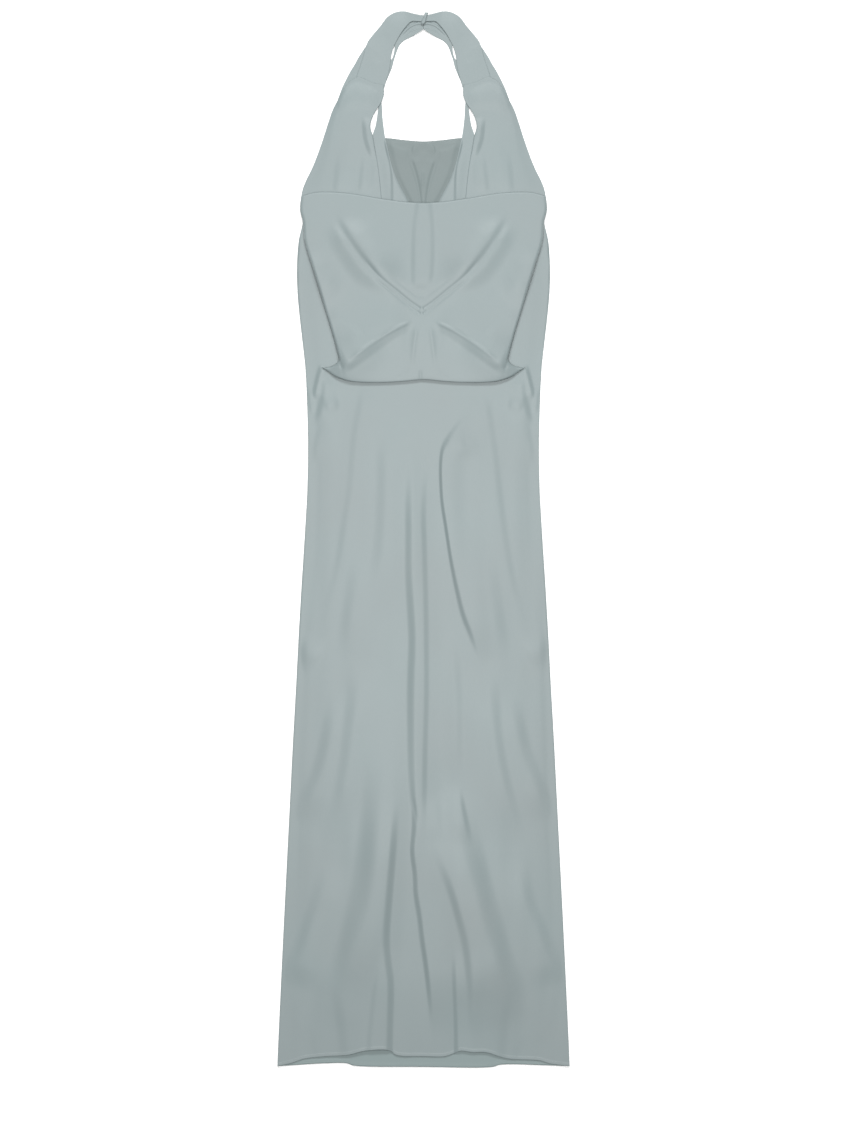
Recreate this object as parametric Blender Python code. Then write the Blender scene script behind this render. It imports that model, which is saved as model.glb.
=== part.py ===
"""Full-length halter dress in bias-cut satin, laid flat on its back with its front up.

Metres, +Z up. The dress lies along Y, with its hem at -Y and the nape of its halter at +Y, and it rests
on Z = 0. The tables below hold places on the laid-out garment in millimetres: x from the centre line,
drop below the top of the neck, and rise of the cloth's underside above the surface that it lies on.
"""

import math
from collections import namedtuple

import bpy
import numpy as np

MM = 0.001

# Driving sizes in millimetres
DRESS_LENGTH = 1478.0
CLOTH = 1.0
SEAM_GAP = 0.4

# The layers, each as the rise of its underside where it lies flat on what is below it
ON_SURFACE = 0.0
ON_BACK = CLOTH + SEAM_GAP
ON_TWO = 2 * (CLOTH + SEAM_GAP)
COWL_REST = 5.2

SATIN = (0.415, 0.482, 0.482, 1.0)
SATIN_REVERSE = (0.300, 0.355, 0.355, 1.0)
SATIN_ROUGHNESS = 0.5

# How much softer a fold's copy on the other side of the centre line is
MIRRORED_SHARE = 0.9

Edges = namedtuple("Edges", "top bottom left right")
Fold = namedtuple("Fold", "kind height width fade_in fade_out path")


# Smooth curves and patches


def smoothstep(low, high, value):
    """0 below low, 1 above high, and a soft slope between them."""
    share = np.clip((value - low) / (high - low), 0.0, 1.0)
    return share * share * (3.0 - 2.0 * share)


def rounding(distance, radius):
    """A quarter circle: 0 at an edge, 1 from radius inwards."""
    inward = np.clip(distance / radius, 0.0, 1.0)
    return np.sqrt(1.0 - (1.0 - inward) ** 2)


def slopes(points, knots):
    """The tangent at each point of a smooth curve through uneven points."""
    spans = np.diff(knots)[:, None]
    chords = np.diff(points, axis=0) / spans
    inner = (chords[:-1] * spans[1:] + chords[1:] * spans[:-1]) / (spans[1:] + spans[:-1])
    return np.concatenate([chords[:1], inner, chords[-1:]])


def dense_curve(points, steps=12):
    """A smooth curve through hand-placed points, read at several steps in each span."""
    points = np.array(points, float)
    if len(points) == 2:
        return points
    spans = np.linalg.norm(np.diff(points[:, :2], axis=0), axis=1) ** 0.5
    knots = np.concatenate([[0.0], np.cumsum(spans)])
    tangents = slopes(points, knots)
    curve = [points[:1]]
    share = np.linspace(0.0, 1.0, steps + 1)[1:, None]
    for i in range(len(points) - 1):
        span = knots[i + 1] - knots[i]
        start = (2 * share**3 - 3 * share**2 + 1) * points[i]
        end = (3 * share**2 - 2 * share**3) * points[i + 1]
        leave = (share**3 - 2 * share**2 + share) * span * tangents[i]
        arrive = (share**3 - share**2) * span * tangents[i + 1]
        curve.append(start + end + leave + arrive)
    return np.concatenate(curve)


def curve_at(points, fractions):
    """Points at these fractions of the curve's length, in an array shaped like fractions."""
    curve = dense_curve(points)
    lengths = np.linalg.norm(np.diff(curve[:, :2], axis=0), axis=1)
    along = np.concatenate([[0.0], np.cumsum(lengths)]) / lengths.sum()
    return np.stack([np.interp(fractions, along, column) for column in curve.T], axis=-1)


def crowded(count, spots):
    """Fractions from 0 to 1 that stand closer at the given spots of (place, extra, width)."""
    place = np.linspace(0.0, 1.0, 400)
    density = np.ones_like(place)
    for centre, extra, width in spots:
        density += extra * np.exp(-(((place - centre) / width) ** 2))
    total = np.concatenate([[0.0], np.cumsum((density[1:] + density[:-1]) / 2)])
    return np.interp(np.linspace(0.0, total[-1], count + 1), total, place)


def panel_patch(edges, across, down):
    """The cloth between four edges, as rows of (x, drop, rise): a Coons patch."""
    u, v = np.meshgrid(across, down)
    u3, v3 = u[..., None], v[..., None]
    top, bottom = curve_at(edges.top, u), curve_at(edges.bottom, u)
    left, right = curve_at(edges.left, v), curve_at(edges.right, v)
    first, last = np.array(edges.top, float)[[0, -1]]
    low_first, low_last = np.array(edges.bottom, float)[[0, -1]]
    corners = (1 - v3) * ((1 - u3) * first + u3 * last) + v3 * ((1 - u3) * low_first + u3 * low_last)
    return (1 - v3) * top + v3 * bottom + (1 - u3) * left + u3 * right - corners, u, v


# Folds


def nearest_on_path(path, x, drop):
    """The signed distance from each place to a path, positive on the +x side of a path that runs
    down the garment, and how far along the path, from 0 to 1, the nearest point is."""
    line = dense_curve(path, 4)
    starts, steps = line[:-1], np.diff(line, axis=0)
    lengths = np.linalg.norm(steps, axis=1)
    reached = np.concatenate([[0.0], np.cumsum(lengths)])
    best = np.full(x.shape, np.inf)
    signed = np.zeros(x.shape)
    along = np.zeros(x.shape)
    for start, step, length, before in zip(starts, steps, lengths, reached):
        share = np.clip(((x - start[0]) * step[0] + (drop - start[1]) * step[1]) / length**2, 0.0, 1.0)
        away_x, away_drop = x - start[0] - share * step[0], drop - start[1] - share * step[1]
        distance = np.hypot(away_x, away_drop)
        closer = distance < best
        best = np.where(closer, distance, best)
        side = np.sign(away_x * step[1] - away_drop * step[0])
        signed = np.where(closer, distance * side, signed)
        along = np.where(closer, (before + share * length) / reached[-1], along)
    return signed, along


LAP_EDGE = 4.0


def fold_profile(kind, distance, width):
    """A fold's section: a soft ridge or trough, or a lap whose +x side lies over its -x side."""
    if kind == "ridge":
        return np.exp(-((distance / width) ** 2))
    if kind == "trough":
        return -np.exp(-((distance / width) ** 2))
    over = np.exp(-((np.maximum(distance, 0.0) / width) ** 2))
    return over * smoothstep(-LAP_EDGE, 0.0, distance)


def fold_rise(folds, x, drop):
    """How far the folds lift the cloth at each place, in millimetres."""
    rise = np.zeros(x.shape)
    for fold in folds:
        distance, along = nearest_on_path(fold.path, x, drop)
        strength = smoothstep(0.0, fold.fade_in, along) * smoothstep(0.0, fold.fade_out, 1.0 - along)
        rise += fold.height * strength * fold_profile(fold.kind, distance, fold.width)
    return rise


def mirrored(folds):
    """The same folds across the centre line, a little softer."""
    return [
        fold._replace(
            height=fold.height * MIRRORED_SHARE,
            fade_in=fold.fade_out,
            fade_out=fold.fade_in,
            path=[(-x, drop) for x, drop in fold.path[::-1]],
        )
        for fold in folds
    ]


# Solids


def satin_material(name, colour):
    material = bpy.data.materials.new(name)
    material.use_nodes = True
    shader = material.node_tree.nodes["Principled BSDF"]
    shader.inputs["Base Color"].default_value = colour
    shader.inputs["Roughness"].default_value = SATIN_ROUGHNESS
    shader.inputs["Metallic"].default_value = 0.0
    return material


def in_metres(place):
    """A row of (x, drop, rise) in millimetres as a point of the part, in metres."""
    x, drop, rise = place
    return (x * MM, (DRESS_LENGTH / 2 - drop) * MM, rise * MM)


def turned_over(grid):
    """Whether a grid's columns run from right to left, as a mirrored grid's do."""
    one, other = grid[1:, 1:, :2] - grid[:-1, :-1, :2], grid[1:, :-1, :2] - grid[:-1, 1:, :2]
    return (one[..., 0] * other[..., 1] - one[..., 1] * other[..., 0]).sum() < 0


def solid_between(name, upper, lower, colour=SATIN):
    """One closed solid between two grids of (x, drop, rise), joined round their rim."""
    rows, columns = upper.shape[:2]
    if turned_over(upper):
        upper, lower = upper[:, ::-1], lower[:, ::-1]
    points = [in_metres(place) for place in np.concatenate([upper.reshape(-1, 3), lower.reshape(-1, 3)])]
    under = rows * columns
    faces = []
    for i in range(rows - 1):
        for j in range(columns - 1):
            a, b = i * columns + j, i * columns + j + 1
            c, d = b + columns, a + columns
            faces.append((a, d, c, b))
            faces.append((under + a, under + b, under + c, under + d))
    rim = [(0, j) for j in range(columns)]
    rim += [(i, columns - 1) for i in range(1, rows)]
    rim += [(rows - 1, j) for j in range(columns - 2, -1, -1)]
    rim += [(i, 0) for i in range(rows - 2, 0, -1)]
    for (i, j), (k, m) in zip(rim, rim[1:] + rim[:1]):
        a, b = i * columns + j, k * columns + m
        faces.append((a, b, under + b, under + a))
    mesh = bpy.data.meshes.new(name)
    mesh.from_pydata(points, [], faces)
    mesh.shade_smooth()
    mesh.set_sharp_from_angle(angle=math.radians(50))
    mesh.materials.append(satin_material(name + "_satin", colour))
    made = bpy.data.objects.new(name, mesh)
    bpy.context.scene.collection.objects.link(made)
    return made


def cloth_wall(name, grid, lift, colour=SATIN):
    """A wall of cloth whose underside is the grid raised by lift."""
    lower = grid.copy()
    lower[..., 2] += lift
    upper = lower.copy()
    upper[..., 2] += CLOTH
    return solid_between(name, upper, lower, colour)


def never_below_zero(lift, softness=0.6):
    """The lift with its dips eased out, so that cloth never sinks into what it lies on."""
    return lift * smoothstep(0.0, softness, lift)


def other_side(grid):
    return grid * np.array([-1.0, 1.0, 1.0])


# The body: back and front panels


# The garment's half-width down its length, from the bust corner to the hem
SIDE = [
    # drop, half_width
    (272, 171.0),
    (297, 169.0),
    (321, 174.5),
    (356, 177.0),
    (391, 176.5),
    (426, 173.5),
    (461, 169.5),
    (496, 165.5),
    (531, 163.5),
    (601, 161.5),
    (671, 162.5),
    (741, 166.5),
    (811, 171.0),
    (881, 175.0),
    (951, 178.5),
    (1021, 182.5),
    (1091, 186.0),
    (1161, 189.5),
    (1301, 196.5),
    (1441, 203.0),
    (1478, 204.5),
]

BACK_NECKLINE = [
    # x, drop; the middle shows between the halters, and the ends lie under them
    (-168, 290),
    (-158, 250),
    (-140, 215),
    (-112, 190),
    (-80, 180),
    (-54, 178),
    (-26, 181),
    (0, 183),
    (26, 181),
    (54, 178),
    (80, 180),
    (112, 190),
    (140, 215),
    (158, 250),
    (168, 290),
]

BACK_HEM = [
    # x, drop
    (-204, 1477),
    (-138, 1473),
    (-107, 1473),
    (-99, 1476),
    (0, 1478),
    (97, 1478),
    (107, 1475),
    (177, 1476),
    (204, 1477),
]

FRONT_HEM = [
    # x, drop; it rises over the two flutes either side of the middle
    (-204, 1477),
    (-183, 1472),
    (-169, 1467),
    (-138, 1463),
    (-107, 1461),
    (-83, 1455),
    (-56, 1453),
    (-46, 1455),
    (-38, 1461),
    (0, 1463),
    (30, 1463),
    (42, 1459),
    (52, 1455),
    (69, 1457),
    (87, 1457),
    (117, 1466),
    (163, 1469),
    (176, 1473),
    (204, 1477),
]

BACK_FOLDS_SIDE = [
    Fold("ridge", 1.5, 3.5, 0.3, 0.05, [(-19, 201), (-13, 218), (-9, 234), (-4, 256), (-2, 275)]),
    Fold("trough", 0.8, 2.5, 0.2, 0.05, [(-17, 196), (-11, 209), (-6, 218), (-4, 231), (-1, 252)]),
    Fold("ridge", 1.0, 6.0, 0.4, 0.4, [(-44, 180), (-34, 186), (-19, 197)]),
]
BACK_FOLDS_MIDDLE = [
    Fold("ridge", 1.6, 9.0, 0.3, 0.4, [(1, 190), (1, 205), (1, 222), (1, 240)]),
    Fold("ridge", 0.8, 2.5, 0.3, 0.3, [(1, 222), (1, 240), (0, 252)]),
    Fold(
        "trough", 1.2, 2.2, 0.2, 0.2,
        [(-16, 198), (-13, 191), (-7, 187), (2, 185), (10, 186), (17, 190), (20, 198)],
    ),
]

# The skirt's folds, in the order of their tops down the garment. Left and right are the viewer's.
SKIRT_FOLDS = [
    Fold(
        "trough", 1.1, 9.0, 0.3, 0.4,
        [(-86, 528), (-96, 566), (-100, 629), (-108, 713), (-120, 776), (-134, 841)],
    ),
    Fold(
        "trough", 1.1, 9.0, 0.3, 0.4,
        [(86, 528), (94, 573), (102, 629), (108, 699), (117, 748), (150, 869)],
    ),
    Fold("trough", 1.0, 10.0, 0.3, 0.4, [(-69, 587), (-61, 636), (-59, 685), (-62, 755), (-66, 825)]),
    Fold(
        "lap", 3.8, 30.0, 0.18, 0.22,
        [
            (66, 561), (54, 577), (40, 592), (31, 606), (27, 624), (26, 650), (28, 690), (33, 725),
            (40, 775), (51, 829), (63, 870), (76, 908),
        ],
    ),
    Fold("ridge", 0.9, 4.0, 0.3, 0.4, [(44, 610), (55, 606), (70, 604)]),
    Fold(
        "lap", 2.6, 13.0, 0.35, 0.2,
        [
            (-19, 622), (-22, 700), (-21, 780), (-18, 881), (-18, 1025), (-13, 1100), (-9, 1140),
            (-15, 1165), (-14, 1200), (-3, 1278), (10, 1385),
        ],
    ),
    Fold(
        "trough", 1.9, 6.0, 0.25, 0.25,
        [(5, 627), (2, 720), (4, 809), (4, 882), (2, 1000), (3, 1100), (10, 1193), (12, 1290)],
    ),
    Fold(
        "trough", 1.4, 12.0, 0.3, 0.3,
        [(-98, 900), (-103, 981), (-109, 1039), (-121, 1091), (-138, 1160)],
    ),
    Fold("trough", 1.2, 10.0, 0.3, 0.4, [(-128, 985), (-141, 1039), (-152, 1071), (-178, 1120)]),
    Fold(
        "trough", 1.4, 12.0, 0.3, 0.3,
        [(46, 939), (47, 1025), (51, 1077), (68, 1186), (93, 1278), (127, 1354), (145, 1400)],
    ),
    Fold("trough", 1.4, 12.0, 0.3, 0.3, [(97, 900), (105, 967), (108, 1011), (116, 1067), (145, 1160)]),
    Fold("trough", 1.2, 10.0, 0.3, 0.4, [(120, 955), (135, 1000), (145, 1035), (156, 1079), (184, 1122)]),
    Fold(
        "trough", 1.6, 13.0, 0.3, 0.3,
        [(-60, 1045), (-71, 1091), (-77, 1150), (-88, 1245), (-110, 1310), (-142, 1405)],
    ),
    Fold("ridge", 1.2, 10.0, 0.4, 0.4, [(14, 1095), (33, 1135), (46, 1175), (57, 1225)]),
    Fold(
        "trough", 3.0, 8.0, 0.35, 0.02,
        [(-41, 1110), (-42, 1180), (-47, 1254), (-51, 1300), (-47, 1364), (-45, 1470)],
    ),
    Fold(
        "trough", 3.0, 8.0, 0.3, 0.02,
        [(13, 1195), (30, 1219), (46, 1245), (57, 1285), (55, 1325), (47, 1364), (45, 1470)],
    ),
    Fold(
        "ridge", 1.4, 14.0, 0.4, 0.05,
        [(-64, 1217), (-69, 1273), (-76, 1329), (-80, 1400), (-78, 1470)],
    ),
    Fold("ridge", 1.4, 14.0, 0.4, 0.05, [(72, 1250), (76, 1320), (76, 1400), (74, 1470)]),
]

# The pinched tuck where each side seam meets the waist
SIDE_TUCK_FOLDS = [
    Fold(
        "trough", 1.8, 2.8, 0.15, 0.35,
        [(-142, 496), (-146, 511), (-150, 525), (-153, 540), (-156, 552)],
    ),
    Fold("ridge", 1.6, 5.0, 0.3, 0.4, [(-137, 500), (-141, 524), (-145, 545), (-149, 566)]),
    Fold("ridge", 1.2, 6.0, 0.3, 0.4, [(-128, 538), (-138, 556), (-147, 580), (-153, 608)]),
]


def side_edge(first_drop, last_drop, inset, rise, sign):
    """One side of the body as rows of (x, drop, rise), between two drops."""
    drops, widths = np.array(SIDE, float).T
    places = [first_drop, *[d for d in drops if first_drop < d < last_drop], last_drop]
    return [(sign * (np.interp(d, drops, widths) - inset), d, rise) for d in places]


def with_rise(table, rise):
    return [(x, drop, rise) for x, drop in table]


def hem_between_sides(table, left, right, rise):
    """A hem table whose ends are the side edges' own last points."""
    return [left[-1], *with_rise(table[1:-1], rise), right[-1]]


BACK_INSET = 0.5
BACK_TOP_DROP = 290.0
NECK_OPENING = (179.0, 190.0, 272.0, 284.0)  # the back's creases begin, are full, fade and end

# closer rows and columns as (place, how much closer, over what share)
BACK_COLUMNS = [(0.5, 3.0, 0.09)]
BACK_ROWS = [(0.0, 4.0, 0.09), (1.0, 1.0, 0.05)]


def make_back_panel():
    left = side_edge(BACK_TOP_DROP, BACK_HEM[0][1], BACK_INSET, ON_SURFACE, -1)
    right = side_edge(BACK_TOP_DROP, BACK_HEM[-1][1], BACK_INSET, ON_SURFACE, 1)
    neckline = [left[0], *with_rise(BACK_NECKLINE[1:-1], ON_SURFACE), right[0]]
    hem = hem_between_sides(BACK_HEM, left, right, ON_SURFACE)
    edges = Edges(neckline, hem, left, right)
    grid, _, _ = panel_patch(edges, crowded(22, BACK_COLUMNS), crowded(22, BACK_ROWS))
    x, drop = grid[..., 0], grid[..., 1]
    lift = fold_rise(BACK_FOLDS_SIDE + mirrored(BACK_FOLDS_SIDE) + BACK_FOLDS_MIDDLE, x, drop)
    begins, full, fades, ends = NECK_OPENING
    in_neck_opening = smoothstep(begins, full, drop) * (1.0 - smoothstep(fades, ends, drop))
    return cloth_wall("back_panel", grid, never_below_zero(lift * in_neck_opening), SATIN_REVERSE)


FRONT_TOP_DROP = 292.0
SIDE_PUFF = 1.2
SIDE_PUFF_WIDTH = 8.0
SKIRT_PUFF = 3.6
SKIRT_PUFF_WIDTH = 28.0
WAIST_DROP = 520.0
SKIRT_FILLS = (WAIST_DROP + 5.0, WAIST_DROP + 90.0)
SEAM_WIDTH = 6.0
COWL_BED = 2.4
COWL_BED_TOP = (315.0, 345.0)
COWL_BED_BOTTOM = (WAIST_DROP - 50.0, WAIST_DROP - 20.0)
COWL_BED_SIDE = (85.0, 125.0)
FRONT_COLUMNS = [(0.44, 1.6, 0.05), (0.60, 1.2, 0.09), (0.0, 1.6, 0.06), (1.0, 1.6, 0.06)]
FRONT_ROWS = [(0.20, 2.2, 0.06), (1.0, 0.5, 0.05)]


def front_lift(x, drop):
    """The front panel's puff and folds: a low bed under the cowl, and a fuller skirt below the waist."""
    drops, widths = np.array(SIDE, float).T
    from_side = np.interp(drop, drops, widths) - np.abs(x)
    side = SIDE_PUFF * (1.0 - np.exp(-from_side / SIDE_PUFF_WIDTH))
    skirt = SKIRT_PUFF * smoothstep(*SKIRT_FILLS, drop) * (1.0 - np.exp(-from_side / SKIRT_PUFF_WIDTH))
    bed = smoothstep(*COWL_BED_TOP, drop) * (1.0 - smoothstep(*COWL_BED_BOTTOM, drop))
    bed *= (COWL_BED - SIDE_PUFF) * smoothstep(*COWL_BED_SIDE, from_side)
    folds = fold_rise(SKIRT_FOLDS + SIDE_TUCK_FOLDS + mirrored(SIDE_TUCK_FOLDS), x, drop)
    inside_seam = 1.0 - np.exp(-from_side / SEAM_WIDTH)
    return never_below_zero(side + skirt + bed + folds * inside_seam)


def make_front_panel():
    left = side_edge(FRONT_TOP_DROP, FRONT_HEM[0][1], 0.0, ON_BACK, -1)
    right = side_edge(FRONT_TOP_DROP, FRONT_HEM[-1][1], 0.0, ON_BACK, 1)
    top = [left[0], (0.0, FRONT_TOP_DROP, ON_BACK), right[0]]
    hem = hem_between_sides(FRONT_HEM, left, right, ON_BACK)
    edges = Edges(top, hem, left, right)
    grid, _, _ = panel_patch(edges, crowded(33, FRONT_COLUMNS), crowded(40, FRONT_ROWS))
    return cloth_wall("front_panel", grid, front_lift(grid[..., 0], grid[..., 1]))


# The cowl: the draped front bodice, a doubled pouch whose hidden layers are one rounded solid


COWL_TOP = [
    # x, drop, left half
    (-171, 260),
    (-153, 255),
    (-135, 254),
    (-103, 256),
    (-61, 263),
    (-23, 268),
    (0, 269),
]
COWL_SIDE = [
    # x, drop, left side, down to the tip of the small ear
    (-171, 260),
    (-172.5, 279),
    (-168.5, 297),
    (-167, 321),
    (-156, 360),
    (-142, 406),
    (-127, 455),
    (-121, 478),
    (-119, 489),
    (-123, 494.5),
    (-131, 498.5),
    (-138, 499.5),
    (-143, 499),
]
COWL_BOTTOM = [
    # x, drop, left half
    (-143, 499),
    (-134, 505),
    (-124, 512),
    (-107, 518),
    (-89, 520),
    (-54, 520),
    (-29, 518.5),
    (0, 516),
]

# The pouch thickens from its folded top edge down to the roll over the waist
COWL_THICKNESS = [
    # share of the way down, thickness
    (0.00, 2.2),
    (0.10, 3.4),
    (0.45, 5.2),
    (0.80, 7.6),
    (1.00, 8.6),
]
COWL_TOP_ROLL = 4.0
COWL_BOTTOM_ROLL = 9.0
COWL_SIDE_ROLL = 6.0
COWL_RIM = 0.6

COWL_FOLDS_SIDE = [
    Fold(
        "ridge", 1.6, 4.0, 0.35, 0.06,
        [
            (-122, 316), (-110, 325), (-98, 340), (-86, 354), (-71, 368), (-52, 385), (-26, 406),
            (-2, 424),
        ],
    ),
    Fold(
        "trough", 1.3, 6.0, 0.3, 0.08,
        [(-108, 297), (-97, 317), (-84, 342), (-62, 368), (-39, 391), (-19, 406), (-2, 415)],
    ),
    Fold(
        "trough", 1.3, 7.0, 0.3, 0.08,
        [(-122, 330), (-103, 357), (-72, 378), (-52, 395), (-32, 411), (-12, 427), (-2, 433)],
    ),
    Fold("ridge", 1.2, 9.0, 0.35, 0.4, [(-112, 284), (-98, 298), (-79, 320), (-62, 340), (-44, 356)]),
    Fold(
        "ridge", 2.0, 5.0, 0.08, 0.2,
        [(-6, 431), (-27, 439), (-44, 448), (-61, 458), (-78, 468), (-93, 480), (-108, 493)],
    ),
    Fold(
        "trough", 1.2, 5.0, 0.1, 0.2,
        [(-12, 440), (-30, 448), (-48, 458), (-66, 469), (-82, 480), (-96, 491)],
    ),
    Fold("ridge", 1.0, 7.0, 0.3, 0.3, [(-136, 405), (-117, 427), (-103, 442), (-81, 464)]),
    Fold("ridge", 0.8, 3.5, 0.2, 0.3, [(-8, 440), (-14, 468), (-20, 491), (-25, 512)]),
    Fold(
        "trough", 1.0, 3.0, 0.2, 0.2,
        [(-14, 266), (-10, 300), (-13, 328), (-16, 351), (-15, 377), (-10, 398)],
    ),
    Fold("trough", 2.2, 3.0, 0.3, 0.3, [(-119, 480), (-115, 492), (-114, 500), (-119, 511)]),
]
COWL_FOLDS_MIDDLE = [
    Fold("ridge", 0.9, 9.0, 0.15, 0.4, [(0, 272), (0, 300), (-1, 340), (-1, 375), (0, 400)]),
]


COWL_COLUMNS = [(0.0, 3.0, 0.035), (1.0, 3.0, 0.035), (0.5, 1.0, 0.08)]
COWL_ROWS = [(0.0, 3.0, 0.03), (1.0, 4.0, 0.05), (0.62, 0.8, 0.08)]


def mirrored_line(half):
    """A left half-line carried on across the centre line to its mirror image."""
    return list(half) + [(-x, drop) for x, drop in half[-2::-1]]


def make_cowl():
    top = with_rise(mirrored_line(COWL_TOP), COWL_REST)
    bottom = with_rise(mirrored_line(COWL_BOTTOM), COWL_REST)
    left = with_rise(COWL_SIDE, COWL_REST)
    right = with_rise([(-x, drop) for x, drop in COWL_SIDE], COWL_REST)
    edges = Edges(top, bottom, left, right)
    lower, u, v = panel_patch(edges, crowded(30, COWL_COLUMNS), crowded(24, COWL_ROWS))
    width = np.linalg.norm(lower[:, -1, :2] - lower[:, 0, :2], axis=-1)[:, None]
    length = np.linalg.norm(lower[-1, :, :2] - lower[0, :, :2], axis=-1)[None, :]
    shares, thicknesses = np.array(COWL_THICKNESS).T
    body = np.interp(v, shares, thicknesses)
    folds = fold_rise(
        COWL_FOLDS_SIDE + mirrored(COWL_FOLDS_SIDE) + COWL_FOLDS_MIDDLE, lower[..., 0], lower[..., 1]
    )
    inset = rounding(v * length, COWL_TOP_ROLL) * rounding((1 - v) * length, COWL_BOTTOM_ROLL)
    inset *= rounding(u * width, COWL_SIDE_ROLL) * rounding((1 - u) * width, COWL_SIDE_ROLL)
    upper = lower.copy()
    upper[..., 2] += COWL_RIM + (body - COWL_RIM + folds) * inset
    return solid_between("cowl", upper, lower)


# The halter, each piece given for the left side and mirrored for the right


HALTER = Edges(
    top=[
        (-117, 120, 1.6),
        (-113, 111, 2.2),
        (-108, 105, ON_TWO),
        (-103, 99, ON_TWO),
        (-97, 95, ON_TWO),
        (-92, 93, ON_TWO),
        (-85, 95, ON_TWO),
        (-78, 98, ON_TWO),
        (-68, 102, ON_TWO),
        (-55, 108, ON_TWO),
    ],
    bottom=[(-169, 279, ON_BACK), (-112, 281, ON_TWO), (-57, 281, ON_TWO)],
    left=[
        (-117, 120, 1.6),
        (-127, 139, ON_BACK),
        (-132, 153, ON_BACK),
        (-141, 181, ON_BACK),
        (-151, 209, ON_BACK),
        (-157, 223, ON_BACK),
        (-164, 237, ON_BACK),
        (-169, 250, ON_BACK),
        (-171, 262, ON_BACK),
        (-169, 279, ON_BACK),
    ],
    right=[
        (-55, 108, ON_TWO),
        (-56, 119, ON_TWO),
        (-60, 130, ON_TWO),
        (-66, 139, ON_TWO),
        (-71, 148, ON_TWO),
        (-74, 158, ON_TWO),
        (-74, 165, ON_TWO),
        (-71, 175, ON_TWO),
        (-68, 192, ON_TWO),
        (-65, 209, ON_TWO),
        (-62, 230, ON_TWO),
        (-57, 281, ON_TWO),
    ],
)
HALTER_PUFF = 3.0
HALTER_FOLDS = [
    Fold("trough", 1.4, 8.0, 0.5, 0.1, [(-116, 185), (-119, 209), (-122, 230), (-124, 262)]),
    Fold("trough", 1.6, 8.0, 0.5, 0.1, [(-84, 190), (-86, 209), (-88, 230), (-90, 262)]),
    Fold("trough", 1.3, 5.0, 0.3, 0.3, [(-81, 141), (-80, 160), (-76, 183), (-71, 206)]),
    Fold("trough", 0.9, 7.0, 0.4, 0.4, [(-118, 139), (-93, 134), (-66, 140)]),
]

FACING = Edges(
    top=[(-64.5, 123, 0.3), (-59.5, 123, 0.3)],
    bottom=[(-86, 287, ON_BACK), (-13, 287, ON_BACK)],
    left=[
        (-64.5, 123, 0.3),
        (-63, 134, 0.3),
        (-65, 147, 0.4),
        (-67, 162, 0.9),
        (-68, 176, ON_BACK),
        (-69, 195, ON_BACK),
        (-74, 216, ON_BACK),
        (-79, 239, ON_BACK),
        (-86, 287, ON_BACK),
    ],
    right=[
        (-59.5, 123, 0.3),
        (-58, 135, 0.3),
        (-58, 148, 0.4),
        (-56, 162, 0.9),
        (-54, 176, ON_BACK),
        (-48, 195, ON_BACK),
        (-41, 216, ON_BACK),
        (-31, 239, ON_BACK),
        (-20, 269, ON_BACK),
        (-13, 287, ON_BACK),
    ],
)

NECK_BAND = Edges(
    top=[(-0.15, 7, 4.9), (-0.15, 16, 5.2)],
    bottom=[(-97, 108, ON_BACK), (-58, 119, ON_BACK)],
    left=[
        (-0.15, 7, 4.9),
        (-6, 6.3, 4.3),
        (-15, 4, 2.8),
        (-27, 0.7, 0.8),
        (-38, 1.6, 0.3),
        (-50, 8, 0.3),
        (-61, 22, 0.3),
        (-71, 34, 0.5),
        (-76, 43, ON_BACK),
        (-79, 53, ON_BACK),
        (-84, 64, ON_BACK),
        (-88, 77, ON_BACK),
        (-93, 91, ON_BACK),
        (-97, 108, ON_BACK),
    ],
    right=[
        (-0.15, 16, 5.2),
        (-8, 15.5, 4.7),
        (-17, 15.5, 3.6),
        (-24, 22, 3.0),
        (-31, 31, 3.0),
        (-38, 43, 2.6),
        (-42, 52, 2.2),
        (-45, 62, 1.8),
        (-46, 71, ON_BACK),
        (-47, 79, ON_BACK),
        (-49, 88, ON_BACK),
        (-53, 101, ON_BACK),
        (-58, 119, ON_BACK),
    ],
)
BAND_PUFF = 3.0

NECK_UNDER = Edges(
    top=[(-0.15, 13, 3.2), (-0.15, 26, 3.2)],
    bottom=[(-120, 124, ON_SURFACE), (-100, 139, ON_SURFACE)],
    left=[
        (-0.15, 13, 3.2),
        (-10, 15, 1.9),
        (-19, 18, 0.8),
        (-31, 28, ON_SURFACE),
        (-37, 39, ON_SURFACE),
        (-40, 52, ON_SURFACE),
        (-41.5, 60, ON_SURFACE),
        (-45, 68, ON_SURFACE),
        (-53, 69, ON_SURFACE),
        (-65, 58, ON_SURFACE),
        (-77.5, 50, ON_SURFACE),
        (-86, 57.5, ON_SURFACE),
        (-94, 70, ON_SURFACE),
        (-101.5, 84, ON_SURFACE),
        (-108.5, 98, ON_SURFACE),
        (-115, 111, ON_SURFACE),
        (-120, 124, ON_SURFACE),
    ],
    right=[
        (-0.15, 26, 3.2),
        (-6, 30, 2.4),
        (-15, 35.5, 1.2),
        (-26, 41, ON_SURFACE),
        (-32, 46, ON_SURFACE),
        (-36, 53, ON_SURFACE),
        (-38.5, 60, ON_SURFACE),
        (-41.5, 69, ON_SURFACE),
        (-44, 79, ON_SURFACE),
        (-48, 89, ON_SURFACE),
        (-54, 102, ON_SURFACE),
        (-61, 113, ON_SURFACE),
        (-68, 122, ON_SURFACE),
        (-78, 129, ON_SURFACE),
        (-88, 134, ON_SURFACE),
        (-100, 139, ON_SURFACE),
    ],
)


def grid_width(grid):
    """Each row's own width, for rounding a strip from its two edges."""
    return np.linalg.norm(grid[:, -1, :2] - grid[:, 0, :2], axis=-1)[:, None]


def from_nearer_edge(grid, u):
    """How far each place of a strip is from the nearer of its two long edges."""
    return np.minimum(u, 1.0 - u) * grid_width(grid)


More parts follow.
